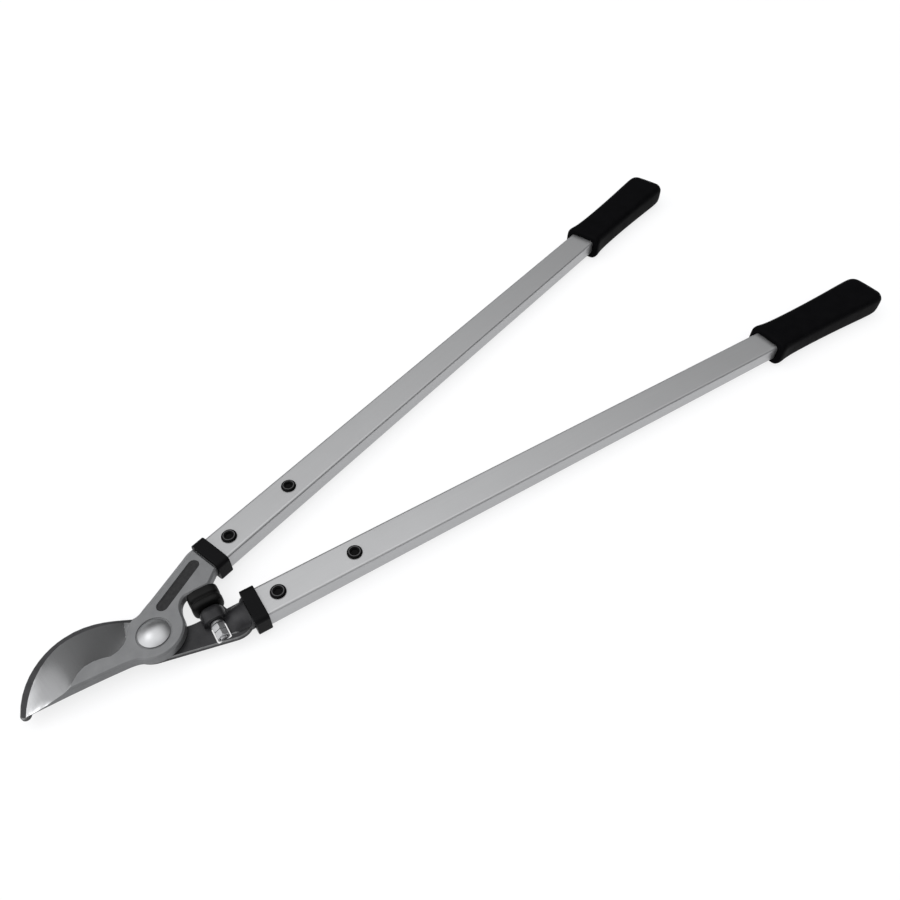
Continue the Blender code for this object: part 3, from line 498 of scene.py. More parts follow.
# %% Faces of the blade
GROUND_FACE, RECESS, RUN_OUT = 1, 2, 3
LEAST_LEAN = math.radians(0.7)
MOST_LEAN = math.radians(76)
CHAMFER_LEAN = math.radians(45)
CHAMFER_SLACK = math.radians(0.2)
FRONT_OF_PIVOT = -0.005
RUN_OUT_START = Vector((-0.0100, -0.0145, 0))
RUN_OUT_END = Vector((-0.0235, -0.0108, 0))
ON_THE_CUT = 0.00001
RECESS_DEPTH = 0.0008
RECESS_SLACK = 0.0001
RECESS_FRONT = 0.015
LEVEL = 0.99
RUN_OUT_SIDE = (RUN_OUT_START - RUN_OUT_END).cross(UP).normalized()

blade_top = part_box("blade")[1].z
recess_floor = blade_top - RECESS_DEPTH
print("top of the blade at", round(blade_top * 1000, 2), "mm")


def leans_to_edge(face):
    lean = face.normal.angle(UP)
    chamfer = abs(lean - CHAMFER_LEAN) < CHAMFER_SLACK
    leans = LEAST_LEAN < lean < MOST_LEAN and face.normal.x < 0
    return leans and not chamfer and face.calc_center_median().y < FRONT_OF_PIVOT


def is_run_out(face):
    beyond = (face.calc_center_median() - RUN_OUT_START).dot(RUN_OUT_SIDE)
    return leans_to_edge(face) and beyond < 0


def cut_run_out(piece):
    with Editing(piece):
        pick("FACE", leans_to_edge)
        bpy.ops.mesh.bisect(plane_co=RUN_OUT_START, plane_no=RUN_OUT_SIDE, threshold=ON_THE_CUT)


def is_recess(face):
    middle = face.calc_center_median()
    level = face.normal.z > LEVEL
    return level and abs(middle.z - recess_floor) < RECESS_SLACK and middle.y > RECESS_FRONT


def paint_faces(piece, test, index):
    """Gives the faces that pass a test another of the piece's finishes."""
    with Editing(piece):
        count = pick("FACE", test)
        piece.active_material_index = index
        bpy.ops.object.material_slot_assign()
    print(f"{piece.name}: {count} faces in {piece.material_slots[index].name}")


# %% [markdown]
# In the solid the hollow grind is made of flat facets. Bare metal shows each facet as a spot of
# its own, so the ground faces are subdivided and their inner points are relaxed towards their
# neighbours, while the points on the border stay. The border itself is marked sharp, because
# the wheel leaves a crisp line.

# %% Blade
GRIND_CUTS = 3
GRIND_RELAX = 140
RELAX_FRONT = -0.006
BLADE_ROUND = 0.00022


def is_forged_edge(edge):
    """Sharp edges of the forging itself, away from the ground bevel."""
    kinds = {face.material_index for face in edge.link_faces}
    return is_sharp(edge) and not kinds & {GROUND_FACE, RUN_OUT}


def is_ground_face(face):
    return face.material_index == GROUND_FACE


def is_grind_border(edge):
    kinds = {face.material_index for face in edge.link_faces}
    return GROUND_FACE in kinds and len(kinds) == 2


def is_inside_grind(vertex):
    in_front = vertex.co.y < RELAX_FRONT
    return in_front and all(is_ground_face(face) for face in vertex.link_faces)


def relax_grind(piece):
    with Editing(piece):
        pick("FACE", is_ground_face)
        bpy.ops.mesh.quads_convert_to_tris(quad_method="BEAUTY", ngon_method="BEAUTY")
        bpy.ops.mesh.subdivide(number_cuts=GRIND_CUTS)
        count = pick("VERT", is_inside_grind)
        bpy.ops.mesh.vertices_smooth(factor=0.5, repeat=GRIND_RELAX)
        pick("EDGE", is_grind_border)
        bpy.ops.mesh.mark_sharp()
    print("points of the grind relaxed:", count)


blade = clean_copy("blade", "blade_forging", BLADE_COAT, GROUND, RECESS_PAINT, BLADE_COAT)
cut_run_out(blade)
paint_faces(blade, leans_to_edge, GROUND_FACE)
paint_faces(blade, is_run_out, RUN_OUT)
paint_faces(blade, is_recess, RECESS)
relax_grind(blade)
round_edges(blade, BLADE_ROUND, test=is_forged_edge)
smooth(blade, 28)
place_piece(blade, "blade_side", "forged_blade_steel", "blade")

# %% [markdown]
# ## The hook
# The hook is the dark counterpart under the blade. The chamfer of its upper edge that faces
# the user is painted a lighter grey, a painted highlight.

# %% Hook
HOOK_ROUND = 0.00025
BEAD_LEAN = (math.radians(30), math.radians(60))
BEAD_REACH = 0.001
TOWARDS_USER = 0.2
BUSH_PLAY = 0.0003
bush_low, bush_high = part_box("pivot_bush")
hook_plate_top = bush_low.z - BUSH_PLAY


# Picks the chamfer that faces the user, which gets the painted highlight.
def is_painted_highlight(face):
    lean = face.normal.angle(UP)
    near_top = abs(face.calc_center_median().z - hook_plate_top) < BEAD_REACH
    return BEAD_LEAN[0] < lean < BEAD_LEAN[1] and near_top and face.normal.x > TOWARDS_USER


hook = clean_copy("hook", "hook_forging", HOOK_BLACK, PAINTED_HIGHLIGHT_EDGE)
paint_faces(hook, is_painted_highlight, 1)
round_edges(hook, HOOK_ROUND)
smooth(hook, 32)
place_piece(hook, "hook_side", "forged_hook_steel", "hook")

# %% [markdown]
# ## Tubes and collars
# A tube's long corners are already round in its solid, so only the cut ends are crisp, and a
# very fine bevel is enough there. The collars are moulded, with softer edges.

# %% Tubes and collars
TUBE_ROUND = 0.0001
COLLAR_ROUND = 0.0005

for side in SIDES:
    node = f"tube_{side}"
    tube = finished_copy(node, f"drawn_{node}", TUBES[side], TUBE_ROUND)
    place_piece(tube, side, "silver_tube", node)
    node = f"collar_{side}"
    collar = finished_copy(node, f"moulded_{node}", COLLAR_PLASTIC, COLLAR_ROUND, segments=3)
    place_piece(collar, side, "black_plastic", node)

# %% [markdown]
# ## Turned pieces
# A bolt head, a washer or a screw is turned on a lathe: one profile, swept round an axis. Here
# a single vertex is extruded along the profile and then spun a full turn. Profiles are written
# as radius and height, from the axis outwards and back to the axis, so the ends close.


# %% Turn a profile on the lathe
SAME_POINT = 0.000001


def turned(name, finish, profile, steps):
    bpy.ops.mesh.primitive_plane_add(size=0.001, enter_editmode=True)
    piece = bpy.context.edit_object
    piece.name = name
    bpy.ops.mesh.select_mode(type="VERT")
    bpy.ops.mesh.merge(type="CENTER")
    (radius, height), *rest = profile
    bpy.ops.transform.translate(value=(radius, 0, height))
    for next_radius, next_height in rest:
        step = (next_radius - radius, 0, next_height - height)
        bpy.ops.mesh.extrude_vertices_move(TRANSFORM_OT_translate={"value": step})
        radius, height = next_radius, next_height
    bpy.ops.mesh.select_all(action="SELECT")
    bpy.ops.mesh.spin(steps=steps, angle=math.radians(360), center=(0, 0, 0), axis=(0, 0, 1))
    bpy.ops.mesh.select_all(action="SELECT")
    bpy.ops.mesh.remove_doubles(threshold=SAME_POINT)
    bpy.ops.mesh.normals_make_consistent(inside=False)
    bpy.ops.object.mode_set(mode="OBJECT")
    piece.data.materials.append(finish)
    return piece


def bake_place(piece, matrix):
    """Moves a piece by a matrix and writes its new place into its mesh."""
    piece.matrix_world = matrix @ piece.matrix_world
    select_only(piece)
    bpy.ops.object.transform_apply(location=True, rotation=True, scale=True)


def arc_profile(centre_radius, centre_height, radius, start, end, steps):
    """Points of a circular arc in a profile, from one angle to another in degrees."""
    points = []
    for index in range(steps + 1):
        angle = math.radians(start + (end - start) * index / steps)
        across, up = radius * math.cos(angle), radius * math.sin(angle)
        points.append((centre_radius + across, centre_height + up))
    return points


# %% [markdown]
# ## The pivot bolt
# Its head is a low polished dome, seated in a shallow turned recess of the blade. The crown is
# the cap of a sphere whose radius follows from the rim's radius and the crown's rise.
# Underneath, the bolt ends in a thread, drawn as a row of rings at the real pitch.

# %% Pivot bolt
bolt_low, bolt_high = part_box("pivot_bolt")
hook_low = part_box("hook")[0]
nut_low, nut_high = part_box("pivot_nut")
HEAD_RADIUS = (bolt_high.x - bolt_low.x) / 2
HEAD_BOTTOM = bush_high.z + BUSH_PLAY
CROWN_STEPS = 16
RIM_HEIGHT = 0.0007
RIM_ROUND = 0.0004
SHANK_RADIUS = 0.006
THREAD_RADIUS = 0.005
THREAD_PITCH = 0.0015
THREAD_DEPTH = 0.0007


def thread_profile(radius, top, bottom, pitch, depth):
    """A zigzag between crest and root, from the top of a thread down to its end."""
    root = radius - depth
    corners = ((root, 0.15), (radius, 0.55), (radius, 0.7))
    points = []
    for turn in range(int((top - bottom) / pitch)):
        height = top - turn * pitch
        points += [(across, height - pitch * share) for across, share in corners]
    return points + [(root, bottom + 0.0001)]


def pivot_bolt():
    rim_top = HEAD_BOTTOM + RIM_HEIGHT
    rise = bolt_high.z - rim_top
    crown_radius = (HEAD_RADIUS ** 2 + rise ** 2) / (2 * rise)
    steepest = math.degrees(math.asin(HEAD_RADIUS / crown_radius))
    crown_middle = bolt_high.z - crown_radius
    crown = arc_profile(0.0, crown_middle, crown_radius, 90, 90 - steepest, CROWN_STEPS)
    print("crown rises", round(rise * 1000, 2), "rim", round(HEAD_RADIUS * 1000, 2))
    thread_top = hook_low.z
    profile = [
        *crown,
        (HEAD_RADIUS, HEAD_BOTTOM + RIM_ROUND),
        (HEAD_RADIUS - RIM_ROUND, HEAD_BOTTOM),
        (SHANK_RADIUS, HEAD_BOTTOM),
        (SHANK_RADIUS, thread_top),
        *thread_profile(THREAD_RADIUS, thread_top - 0.0002, bolt_low.z, THREAD_PITCH, THREAD_DEPTH),
        (THREAD_RADIUS - THREAD_DEPTH - 0.0003, bolt_low.z),
        (0.0, bolt_low.z),
    ]
    bolt = turned("domed_pivot_bolt", ZINC, profile, steps=72)
    smooth(bolt, 35)
    place_piece(bolt, "hook_side", "zinc_plated_steel", "pivot_bolt")


pivot_bolt()

# %% [markdown]
# ## Nuts
# A nut is a six-sided bar that is turned to a cone at both ends, which gives the curved chamfer
# lines on its corners. So a six-sided prism is intersected with a turned disc that has
# chamfered rims, and then bored. The prism is a little taller than the disc, because a Boolean
# is only safe where no two faces lie in one plane.


# %% Hexagon nuts
OVERCUT = 0.001
CHAMFER_START = 0.94
CHAMFER_FALL = math.radians(25)
PAST_CORNER = 1.002
NUT_ROUND = 0.00012
BORE_PLAY = 0.0002


def boolean_with(piece, tool, operation):
    """Cuts a piece with a tool, or keeps only what they share, and removes the tool."""
    add_modifier(piece, "BOOLEAN", object=tool, operation=operation, solver="EXACT")
    bpy.data.objects.remove(tool)


def hexagon(name, finish, flats, bottom, top):
    bpy.ops.mesh.primitive_cylinder_add(
        vertices=6, radius=flats / 2 / math.cos(math.radians(30)), depth=top - bottom,
        location=(0, 0, (bottom + top) / 2), rotation=(0, 0, math.radians(30)),
    )
    piece = bpy.context.object
    piece.name = name
    piece.data.materials.append(finish)
    bpy.ops.object.transform_apply(location=True, rotation=True, scale=True)
    return piece


def chamfered_disc(radius, flats, bottom, top):
    """A turned disc whose rims fall away from just inside the flats to the corners."""
    flat = flats / 2 * CHAMFER_START
    drop = (radius - flat) * math.tan(CHAMFER_FALL)
    profile = [
        (0.0, top), (flat, top), (radius, top - drop), (radius, bottom + drop), (flat, bottom),
        (0.0, bottom),
    ]
    return turned("chamfer_tool", ZINC, profile, steps=64)


def hexagon_nut(name, finish, flats, bore, bottom, top):
    nut = hexagon(name, finish, flats, bottom - OVERCUT, top + OVERCUT)
    corner = flats / 2 / math.cos(math.radians(30))
    boolean_with(nut, chamfered_disc(corner * PAST_CORNER, flats, bottom, top), "INTERSECT")
    bpy.ops.mesh.primitive_cylinder_add(
        vertices=48, radius=bore, depth=(top - bottom) * 2, location=(0, 0, (bottom + top) / 2)
    )
    boolean_with(nut, bpy.context.object, "DIFFERENCE")
    add_modifier(
        nut, "BEVEL", width=NUT_ROUND, segments=2, limit_method="ANGLE",
        angle_limit=math.radians(40), use_clamp_overlap=True,
    )
    smooth(nut, 25)
    return nut


PIVOT_NUT_FLATS = nut_high.y - nut_low.y
pivot_nut = hexagon_nut(
    "chamfered_pivot_nut", ZINC, PIVOT_NUT_FLATS, THREAD_RADIUS + BORE_PLAY, nut_low.z, nut_high.z
)
place_piece(pivot_nut, "hook_side", "zinc_plated_steel", "pivot_nut")

# %% [markdown]
# ## The rubber stop
# Two soft lobes with a waist between them sit on the end of the stud and meet the blade's arm
# when the lopper closes. Seen from the end, a lobe is a square with very round corners. A
# circle is pulled towards that square, extruded from ring to ring along the stud, and then
# given one level of subdivision.

# %% Frame of the stud, measured across its handle
stop_low, stop_high = box_on_handle("bumper", "hook_side")
stud_low, stud_high = box_on_handle("bumper_stud", "hook_side")
STUD_PLACE = (stud_low.y + stud_high.y) / 2
STUD_HEIGHT = (stud_low.z + stud_high.z) / 2
STUD_RADIUS = (stud_high.z - stud_low.z) / 2
across_handle = (
    handles["hook_side"]
    @ Matrix.Translation((0, STUD_PLACE, STUD_HEIGHT))
    @ Matrix.Rotation(math.radians(90), 4, "Y")
)
print("stud at", round(STUD_PLACE * 1000, 1), "mm along the handle")


# %% Extrude a ring through stations
def swept(name, finish, ring, stations):
    """Extrudes a ring, drawn in X and Y at the origin, through stations of Z, width and height.

    Width and height are full sizes at that station. The ring is drawn one unit wide and high.
    """
    bpy.ops.mesh.primitive_circle_add(
        vertices=len(ring), radius=1, fill_type="NGON", enter_editmode=True
    )
    piece = bpy.context.edit_object
    piece.name = name
    bm = bmesh.from_edit_mesh(piece.data)
    for vertex, (x, y) in zip(bm.verts, ring):
        vertex.co = (x, y, 0)
    bmesh.update_edit_mesh(piece.data)
    (place, width, height), *rest = stations
    bpy.ops.mesh.select_all(action="SELECT")
    bpy.ops.transform.resize(value=(width, height, 1), center_override=(0, 0, 0))
    bpy.ops.transform.translate(value=(0, 0, place))
    for next_place, next_width, next_height in rest:
        bpy.ops.mesh.extrude_region_move(
            TRANSFORM_OT_translate={"value": (0, 0, next_place - place)}
        )
        bpy.ops.transform.resize(
            value=(next_width / width, next_height / height, 1), center_override=(0, 0, next_place)
        )
        place, width, height = next_place, next_width, next_height
    bpy.ops.mesh.select_all(action="SELECT")
    bpy.ops.mesh.normals_make_consistent(inside=False)
    bpy.ops.object.mode_set(mode="OBJECT")
    piece.data.materials.append(finish)
    return piece


def squared_ring(power, points):
    """A ring between a circle and a square, one unit wide and high."""
    ring = []
    for index in range(points):
        angle = 2 * math.pi * index / points
        cos, sin = math.cos(angle), math.sin(angle)
        x = math.copysign(abs(cos) ** (2 / power), cos) / 2
        ring.append((x, math.copysign(abs(sin) ** (2 / power), sin) / 2))
    return ring


STOP_POWER = 3.4
STOP_ROUND = 0.0012
STOP_WAIST_SHARE = 0.56
STOP_WAIST_DEPTH = 0.0018
STOP_LIP = 0.0004


def rubber_stop():
    """The local X axis of the swept ring is up, its Y axis runs along the handle."""
    up, along = stop_high.z - stop_low.z, stop_high.y - stop_low.y
    face, back = stop_low.x, stop_high.x
    waist = face + (back - face) * STOP_WAIST_SHARE
    groove = STOP_WAIST_DEPTH
    flank = ((1.3, 0.0), (0.75, STOP_LIP * 0.5), (0.35, groove * 0.75))
    rings = (
        (face, STOP_ROUND * 1.6),
        (face + STOP_ROUND * 0.15, STOP_ROUND * 0.9),
        (face + STOP_ROUND * 0.5, STOP_ROUND * 0.3),
        (face + STOP_ROUND * 1.1, 0.0),
        *((waist - groove * away, less) for away, less in flank),
        (waist, groove),
        *((waist + groove * away, less) for away, less in reversed(flank)),
        (back - STOP_ROUND * 1.8, 0.0),
        (back - STOP_ROUND * 0.8, STOP_ROUND * 0.35),
        (back - STOP_ROUND * 0.2, STOP_ROUND * 1.1),
        (back, STOP_ROUND * 2.2),
    )
    stations = [(place, up - 2 * less, along - 2 * less) for place, less in rings]
    stop = swept("rubber_stop", RUBBER, squared_ring(STOP_POWER, 48), stations)
    add_modifier(stop, "SUBSURF", levels=1, render_levels=1)
    smooth(stop, 60)
    bake_place(stop, across_handle)
    place_piece(stop, "hook_side", "rubber", "bumper")


rubber_stop()

# %% [markdown]
# ## The stud and its nuts
# The stud is a threaded rod, the washer a plain disc, and the two nuts lock against each other
# in the hook's window. The rod's thread is again a row of rings.


# %% Stud, washer and nuts
def place_on_stud(piece, node):
    bake_place(piece, across_handle)
    place_piece(piece, "hook_side", "zinc_plated_steel", node)


def stud():
    start, end = stud_low.x, stud_high.x
    depth, pitch = 0.0004, 0.0008
    chamfer = 0.0005
    thread_start = end - 0.0006
    profile = [
        (0.0, end),
        (STUD_RADIUS - chamfer, end),
        (STUD_RADIUS, end - chamfer),
        *thread_profile(STUD_RADIUS, thread_start, start + chamfer, pitch, depth),
        (STUD_RADIUS - chamfer, start),
        (0.0, start),
    ]
    piece = turned("threaded_stud", ZINC, profile, steps=32)
    smooth(piece, 40)
    place_on_stud(piece, "bumper_stud")


def washer():
    low, high = box_on_handle("bumper_washer", "hook_side")
    radius = (high.z - low.z) / 2
    soft = 0.0002
    bore = STUD_RADIUS + 0.0003
    profile = [
        (bore, high.x),
        (radius - soft, high.x),
        (radius, high.x - soft),
        (radius, low.x + soft),
        (radius - soft, low.x),
        (bore, low.x),
        (bore, high.x),
    ]
    piece = turned("stud_washer", ZINC, profile, steps=48)
    smooth(piece, 35)
    place_on_stud(piece, "bumper_washer")


def stud_nut(node, name):
    low, high = box_on_handle(node, "hook_side")
    flats = min(high.y - low.y, high.z - low.z)
    nut = hexagon_nut(name, ZINC, flats, STUD_RADIUS + BORE_PLAY, low.x, high.x)
    place_on_stud(nut, node)


stud()
washer()
stud_nut("bumper_nut", "stud_nut")
stud_nut("bumper_lock_nut", "stud_lock_nut")

# %% [markdown]
# ## Screws through the tubes
# Each tube is held to its tang by two cap screws from above. A head has a six-sided socket, a
# shallow bowl round it, a flat rim painted lighter as a painted highlight, and a round shoulder.
# From below, a sleeve nut with the same head takes each screw. One screw and one sleeve nut are
# modelled on the handle's axis, and then copied to the four places.


# %% Socket screws and sleeve nuts
SOCKET_FLATS = 0.005
SOCKET_DEPTH = 0.0013
BOWL_SHARE = 1.22
BOWL_DEPTH = 0.00045
RIM_SOFT = 0.0001
RIM_INNER, RIM_OUTER = 0.0037, 0.0043
RIM_SLACK = 0.00002
HEAD_PLAY = 0.0001
SCREW_SHANK = 0.0025
SLEEVE_RADIUS = 0.004


def head_profile(radius, top):
    """Half a screw head, from the bowl round the socket over the rim to the round shoulder."""
    shoulder = radius - RIM_OUTER
    return [
        (0.0, top - BOWL_DEPTH),
        (SOCKET_FLATS / 2 * BOWL_SHARE, top - BOWL_DEPTH),
        (RIM_INNER - RIM_SOFT, top - RIM_SOFT),
        (RIM_INNER, top),
        *arc_profile(RIM_OUTER, top - shoulder, shoulder, 90, 0, 7),
    ]


def headed(name, profile, rim, socket_bottom, socket_top):
    """Turns a piece with a head, cuts its socket and paints its flat rim lighter, a painted highlight."""
    piece = turned(name, BLACK_OXIDE, profile, steps=48)
    socket = hexagon("socket_tool", BLACK_OXIDE, SOCKET_FLATS, socket_bottom, socket_top)
    boolean_with(piece, socket, "DIFFERENCE")
    piece.data.materials.append(PAINTED_HIGHLIGHT_OXIDE)
    paint_faces(piece, lambda face: all(abs(corner.co.z - rim) < RIM_SLACK for corner in face.verts), 1)
    smooth(piece, 30)
    return piece


tube_low, tube_high = box_on_handle("tube_hook_side", "hook_side")


def socket_screw():
    low, high = box_on_handle("screw_hook_side_1", "hook_side")
    radius = (high.x - low.x) / 2
    profile = [
        *head_profile(radius, high.z),
        (radius, tube_high.z + HEAD_PLAY),
        (SCREW_SHANK, tube_high.z + HEAD_PLAY),
        (SCREW_SHANK, low.z),
        (0.0, low.z),
    ]
    return headed("screw_pattern", profile, high.z, high.z - SOCKET_DEPTH, high.z + OVERCUT)


def sleeve_nut():
    low, high = box_on_handle("sleeve_nut_hook_side_1", "hook_side")
    radius = (high.x - low.x) / 2
    head = [(across, 2 * low.z - height) for across, height in reversed(head_profile(radius, low.z))]
    profile = [
        (0.0, high.z),
        (SLEEVE_RADIUS, high.z),
        (SLEEVE_RADIUS, tube_low.z - HEAD_PLAY),
        (radius, tube_low.z - HEAD_PLAY),
        *head,
    ]
    return headed("sleeve_nut_pattern", profile, low.z, low.z - OVERCUT, low.z + SOCKET_DEPTH)


def copy_to_node(pattern, name, node, side):
    """Puts a copy of a pattern where a node stands along its handle."""
    low, high = box_on_handle(node, side)
    piece = copied(pattern, name)
    bake_place(piece, handles[side] @ Matrix.Translation((0, (low.y + high.y) / 2, 0)))
    place_piece(piece, side, "black_steel", node)


screw_pattern = socket_screw()
nut_pattern = sleeve_nut()
for side in SIDES:
    for number in (1, 2):
        hole = f"{side}_{number}"
        copy_to_node(screw_pattern, f"socket_screw_{hole}", f"screw_{hole}", side)
        copy_to_node(nut_pattern, f"sleeve_nut_head_{hole}", f"sleeve_nut_{hole}", side)
for pattern in (screw_pattern, nut_pattern):
    bpy.data.objects.remove(pattern)

# %% [markdown]
# ## Grips
# A grip is a thick moulded sleeve: a flange in front that keeps the hand off the tube, a neck
# behind it, a body that swells to the end, and an arched nose. Its solid is a stack of rings,
# so each ring's place, width and height are measured there. A rounded rectangle is swept
# through these stations, its last rings are drawn towards an oval, the mouth is pushed in
# around the tube, and two levels of subdivision give the soft skin of a moulding. Both grips
# are alike, so one is modelled and then copied to each handle.

# %% Measure the rings of a solid
RING_STEP = 0.00005
SAME_RING = 0.0001


def rings_along(node, side, least_width):
    """Place, width and height of each outer ring of a sleeve, measured along its handle."""
    to_handle = handles[side].inverted()
    rings = {}
    for vertex in nodes[node].data.vertices:
        point = to_handle @ vertex.co
        rings.setdefault(round(point.y / RING_STEP), []).append(point)
    stations = []
    for key in sorted(rings):
        ring = rings[key]
        width = 2 * max(abs(point.x) for point in ring)
        height = 2 * max(abs(point.z) for point in ring)
        place = sum(point.y for point in ring) / len(ring)
        if width > least_width or place > stations[-1][0] + SAME_RING:
            stations.append((place, width, height))
    return stations


def rounded_ring(half_width, half_height, corner, steps):
    """A rounded rectangle as a ring of points, scaled to one unit wide and high."""
    points = []
    for index, (sign_x, sign_y) in enumerate(((1, 1), (-1, 1), (-1, -1), (1, -1))):
        for step in range(steps + 1):
            angle = math.radians(90 * (index + step / steps))
            x = sign_x * (half_width - corner) + corner * math.cos(angle)
            y = sign_y * (half_height - corner) + corner * math.sin(angle)
            points.append((x / half_width / 2, y / half_height / 2))
    return points


# %% Grips
GRIP_CORNER = 0.007
MOUTH_GAP = 0.0003
MOUTH_LIP = 0.0006
MOUTH_DEPTH = 0.006
NOSE = 0.0125


def arch_nose(piece, stations):
    """Takes the rings of the last stretch from a rounded rectangle to an oval."""
    end = stations[-1][0]
    for vertex in piece.data.vertices:
        share = 1 - (end - vertex.co.z) / NOSE
        if share > 0:
            _, width, height = min(stations, key=lambda station: abs(station[0] - vertex.co.z))
            angle = math.atan2(vertex.co.y / height, vertex.co.x / width)
            oval = Vector((width / 2 * math.cos(angle), height / 2 * math.sin(angle), vertex.co.z))
            vertex.co = vertex.co.lerp(oval, share)


def push_in_mouth(piece, front_width, front_height):
    """Insets the front face to the tube's size and pushes it in."""
    mouth_width = tube_high.x - tube_low.x + 2 * MOUTH_GAP
    mouth_height = tube_high.z - tube_low.z + 2 * MOUTH_GAP
    shrink = (mouth_width / front_width, mouth_height / front_height, 1)
    with Editing(piece):
        pick("FACE", lambda face: abs(face.calc_center_median().z) < RING_STEP and face.normal.z < -LEVEL)
        bpy.ops.mesh.extrude_region_move(TRANSFORM_OT_translate={"value": (0, 0, 0)})
        bpy.ops.transform.resize(value=shrink, center_override=(0, 0, 0))
        for depth in (MOUTH_LIP, MOUTH_DEPTH):
            bpy.ops.mesh.extrude_region_move(TRANSFORM_OT_translate={"value": (0, 0, depth)})


def grip():
    """One grip, modelled upright and then laid down along the Y axis of a handle."""
    bore = tube_high.x - tube_low.x + 2 * MOUTH_GAP
    rings = rings_along("grip_hook_side", "hook_side", bore)
    outer = [station for station in rings if abs(station[1] - bore) > SAME_RING]
    start = outer[0][0]
    stations = [(place - start, width, height) for place, width, height in outer]
    _, widest, its_height = max(stations, key=lambda station: station[1])
    ring = rounded_ring(widest / 2, its_height / 2, GRIP_CORNER, 5)
    piece = swept("grip_pattern", GRIP_PLASTIC, ring, stations)
    arch_nose(piece, stations)
    push_in_mouth(piece, *stations[0][1:])
    add_modifier(piece, "SUBSURF", levels=2, render_levels=2)
    smooth(piece, 50)
    bake_place(piece, Matrix.Translation((0, start, 0)) @ Matrix.Rotation(math.radians(-90), 4, "X"))
    print("grip stations:", len(stations))
    return piece


grip_pattern = grip()
for side in SIDES:
    twin = copied(grip_pattern, f"moulded_grip_{side}")
    bake_place(twin, handles[side])
    place_piece(twin, side, "grip_plastic", f"grip_{side}")
bpy.data.objects.remove(grip_pattern)

# %% [markdown]
# ## Pieces that keep their solid
# The bush and the spring washer are simple turned rings that hardly show. They keep their solid
# and only get the zinc finish.

# %% Bush and spring washer
for name in ("pivot_bush", "pivot_spring_washer"):
    solid = nodes[name]
    solid.data.materials.clear()
    solid.data.materials.append(ZINC)
    print(name, "keeps its solid,", len(solid.data.polygons), "faces")

# %% [markdown]
# ## The table, the light and the camera
# The table is white and shines a little by itself, so that it shows white while the soft shadow
# under the tool stays. The glow is there for the camera and for mirrored rays alone, so metal
# shows it too, while matt faces aren't lit by it.


# %% White table
TABLE_MIDDLE = (0.1, 0.3, 0)
TABLE_RADIUS = 6
TABLE_COLOUR = (0.26, 0.262, 0.27, 1)
TABLE_GLOW = 0.76
WHITE = (1, 1, 1, 1)


def calculate(tree, operation, first, second):
    """A Math node between an output and another output or a number."""
    made = tree.nodes.new("ShaderNodeMath")
    made.operation = operation
    tree.links.new(first, made.inputs[0])
    if isinstance(second, float):
        made.inputs[1].default_value = second
    else:
        tree.links.new(second, made.inputs[1])
    return made.outputs[0]


def white_table():
    bpy.ops.mesh.primitive_circle_add(
        vertices=96, radius=TABLE_RADIUS, fill_type="NGON", location=TABLE_MIDDLE
    )
    table = bpy.context.object
    table.name = "white_table"
    material = bpy.data.materials.new("white_table")
    material.use_nodes = True
    tree = material.node_tree
    shader = tree.nodes["Principled BSDF"]
    shader.inputs["Base Color"].default_value = TABLE_COLOUR
    shader.inputs["Roughness"].default_value = 0.9
    shader.inputs["Specular IOR Level"].default_value = 0.0
    glow = tree.nodes.new("ShaderNodeEmission")
    glow.inputs["Color"].default_value = WHITE
    rays = tree.nodes.new("ShaderNodeLightPath")
    seen = rays.outputs["Is Camera Ray"]
    for name in ("Is Glossy Ray", "Is Transmission Ray"):
        seen = calculate(tree, "MAXIMUM", seen, rays.outputs[name])
    tree.links.new(calculate(tree, "MULTIPLY", seen, TABLE_GLOW), glow.inputs["Strength"])
    both = tree.nodes.new("ShaderNodeAddShader")
    tree.links.new(shader.outputs["BSDF"], both.inputs[0])
    tree.links.new(glow.outputs["Emission"], both.inputs[1])
    tree.links.new(both.outputs["Shader"], tree.nodes["Material Output"].inputs["Surface"])
    table.data.materials.append(material)
    table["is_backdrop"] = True
    print("table", 2 * TABLE_RADIUS, "m across")


white_table()

# %% [markdown]
# The room is bright overhead, like a large soft box, and dimmer towards the right. On the left
# stands a wall that is dim and turns pale in the direction of the jaws. The ground bevel leans
# to the left and mirrors this wall, so it is dark with a bright end, while the level faces
# mirror the bright part. The satin tubes blur the border between the two, which gives them
# their long fade. The camera itself sees plain white, and a small soft box adds a little light.


# %% Soft light from above
RIGHT = (1, 0, 0)
OVERHEAD = (0, -0.678, 0.735)
OVERHEAD_FADE, OVERHEAD_LIGHT = (-0.215, 0.45), (0.12, 1.45)
RIGHT_FADE, RIGHT_LIGHT = (0.3, 0.8), (1, 0.40)
WALL_BORDER, WALL_SHARE = (-0.72, -0.60), (0, 1)
WALL_PALE_END = (-0.150, -0.853, 0.5)
WALL_GREYS = ((0.0, 0.10), (0.34, 0.17), (0.57, 0.28), (0.605, 0.55), (0.66, 0.72), (1.0, 0.85))


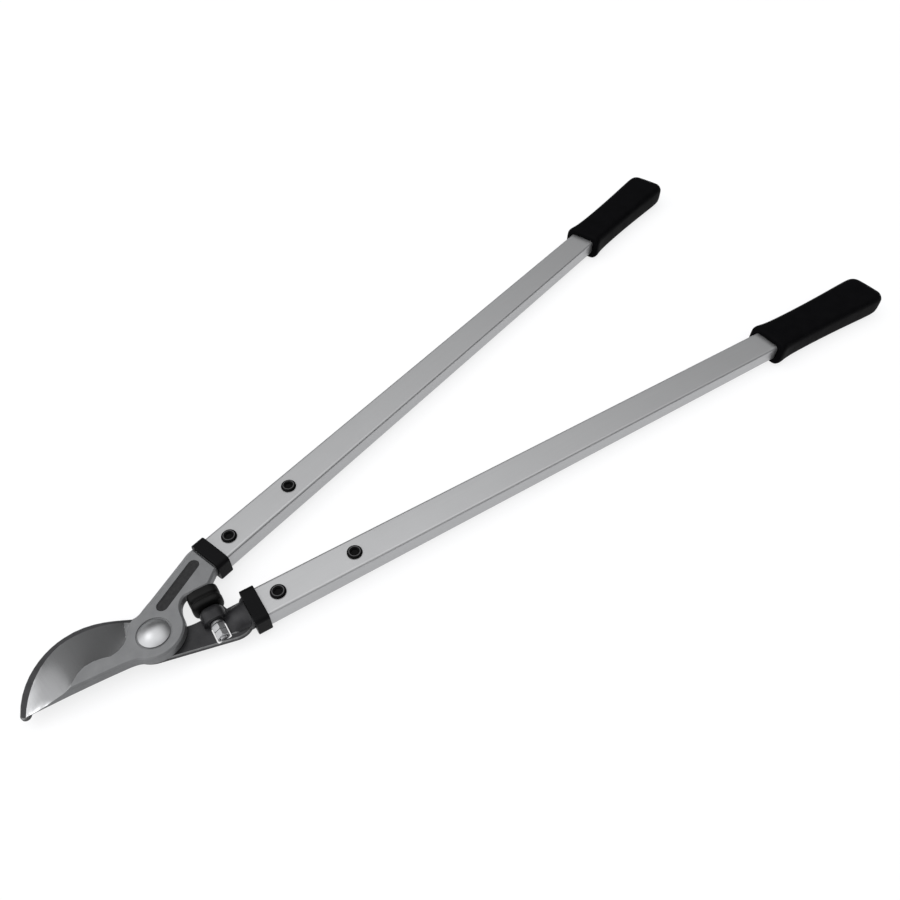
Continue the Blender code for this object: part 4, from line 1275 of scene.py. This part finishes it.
def soft_room():
    world = bpy.data.worlds.new("soft_room")
    world.use_nodes = True
    bpy.context.scene.world = world
    tree = world.node_tree
    direction = tree.nodes.new("ShaderNodeTexCoord").outputs["Generated"]

    def towards(axis):
        """How far a direction points along an axis, from -1 to 1."""
        along = tree.nodes.new("ShaderNodeVectorMath")
        along.operation = "DOT_PRODUCT"
        along.inputs[1].default_value = axis
        tree.links.new(direction, along.inputs[0])
        return along.outputs["Value"]

    sheet = map_range(tree, towards(OVERHEAD), OVERHEAD_FADE, OVERHEAD_LIGHT)
    right = map_range(tree, towards(RIGHT), RIGHT_FADE, RIGHT_LIGHT)
    overhead = calculate(tree, "MULTIPLY", sheet, right)
    wall = tree.nodes.new("ShaderNodeValToRGB")
    tree.links.new(towards(WALL_PALE_END), wall.inputs["Fac"])
    points = wall.color_ramp.elements
    while len(points) < len(WALL_GREYS):
        points.new(0.5)
    for point, (place, grey) in zip(points, WALL_GREYS):
        point.position = place
        point.color = (grey, grey, grey, 1)
    both = tree.nodes.new("ShaderNodeMix")
    past_wall = map_range(tree, towards(RIGHT), WALL_BORDER, WALL_SHARE)
    tree.links.new(past_wall, both.inputs["Factor"])
    tree.links.new(wall.outputs["Color"], both.inputs["A"])
    tree.links.new(overhead, both.inputs["B"])
    seen = tree.nodes.new("ShaderNodeMix")
    rays = tree.nodes.new("ShaderNodeLightPath")
    tree.links.new(rays.outputs["Is Camera Ray"], seen.inputs["Factor"])
    tree.links.new(both.outputs["Result"], seen.inputs["A"])
    seen.inputs["B"].default_value = 1
    background = tree.nodes["Background"]
    background.inputs["Color"].default_value = WHITE
    tree.links.new(seen.outputs["Result"], background.inputs["Strength"])


soft_room()

# %% A small soft box, aimed at the pivot
BOX_PLACE = Vector((-0.68, -0.68, 1.63))
lamp = bpy.data.lights.new("key_box", "AREA")
lamp.shape = "SQUARE"
lamp.size = 0.8
lamp.energy = 3
key_box = bpy.data.objects.new("key_box", lamp)
bpy.context.scene.collection.objects.link(key_box)
key_box.location = BOX_PLACE
key_box.rotation_euler = (-BOX_PLACE).to_track_quat("-Z", "Y").to_euler()
print(f"soft box: {lamp.size:.1f} m wide, {lamp.energy:.0f} W")

# %% [markdown]
# ## The camera
# It stands where the photograph was taken. Its place, its three directions and its lens were
# worked out from the two straight handles and the level table.

# %% Camera where the photograph was taken
CAMERA_PLACE = Vector((0.29677, -0.0236, 0.4641))
CAMERA_RIGHT = Vector((0.68004, 0.73303, 0.014608))
CAMERA_UP = Vector((-0.5554, 0.50205, 0.66292))
CAMERA_AHEAD = Vector((-0.47860, 0.45893, -0.74855))
SENSOR_WIDTH_MM = 36
LENS_MM = 30.126
lens = bpy.data.cameras.new("camera")
lens.sensor_width = SENSOR_WIDTH_MM
lens.lens = LENS_MM
lens.clip_start = 0.01
camera = bpy.data.objects.new("camera", lens)
bpy.context.scene.collection.objects.link(camera)
turn = Matrix((CAMERA_RIGHT, CAMERA_UP, -CAMERA_AHEAD)).transposed().to_4x4()
camera.matrix_world = Matrix.Translation(CAMERA_PLACE) @ turn
bpy.context.scene.camera = camera
bpy.context.scene.view_settings.view_transform = "Standard"
print("camera", round(CAMERA_PLACE.z, 3), "m above the table")

# %% [markdown]
# ## The last look at the sizes
# The finished pieces have to stay within the solid model's size, so both boxes are printed.

# %% Print both sizes
dressed_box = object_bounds()
for name, (low, high) in (("solid model", cad_box), ("dressed", dressed_box)):
    print(name, [round((end - start) * 1000, 1) for start, end in zip(low, high)])
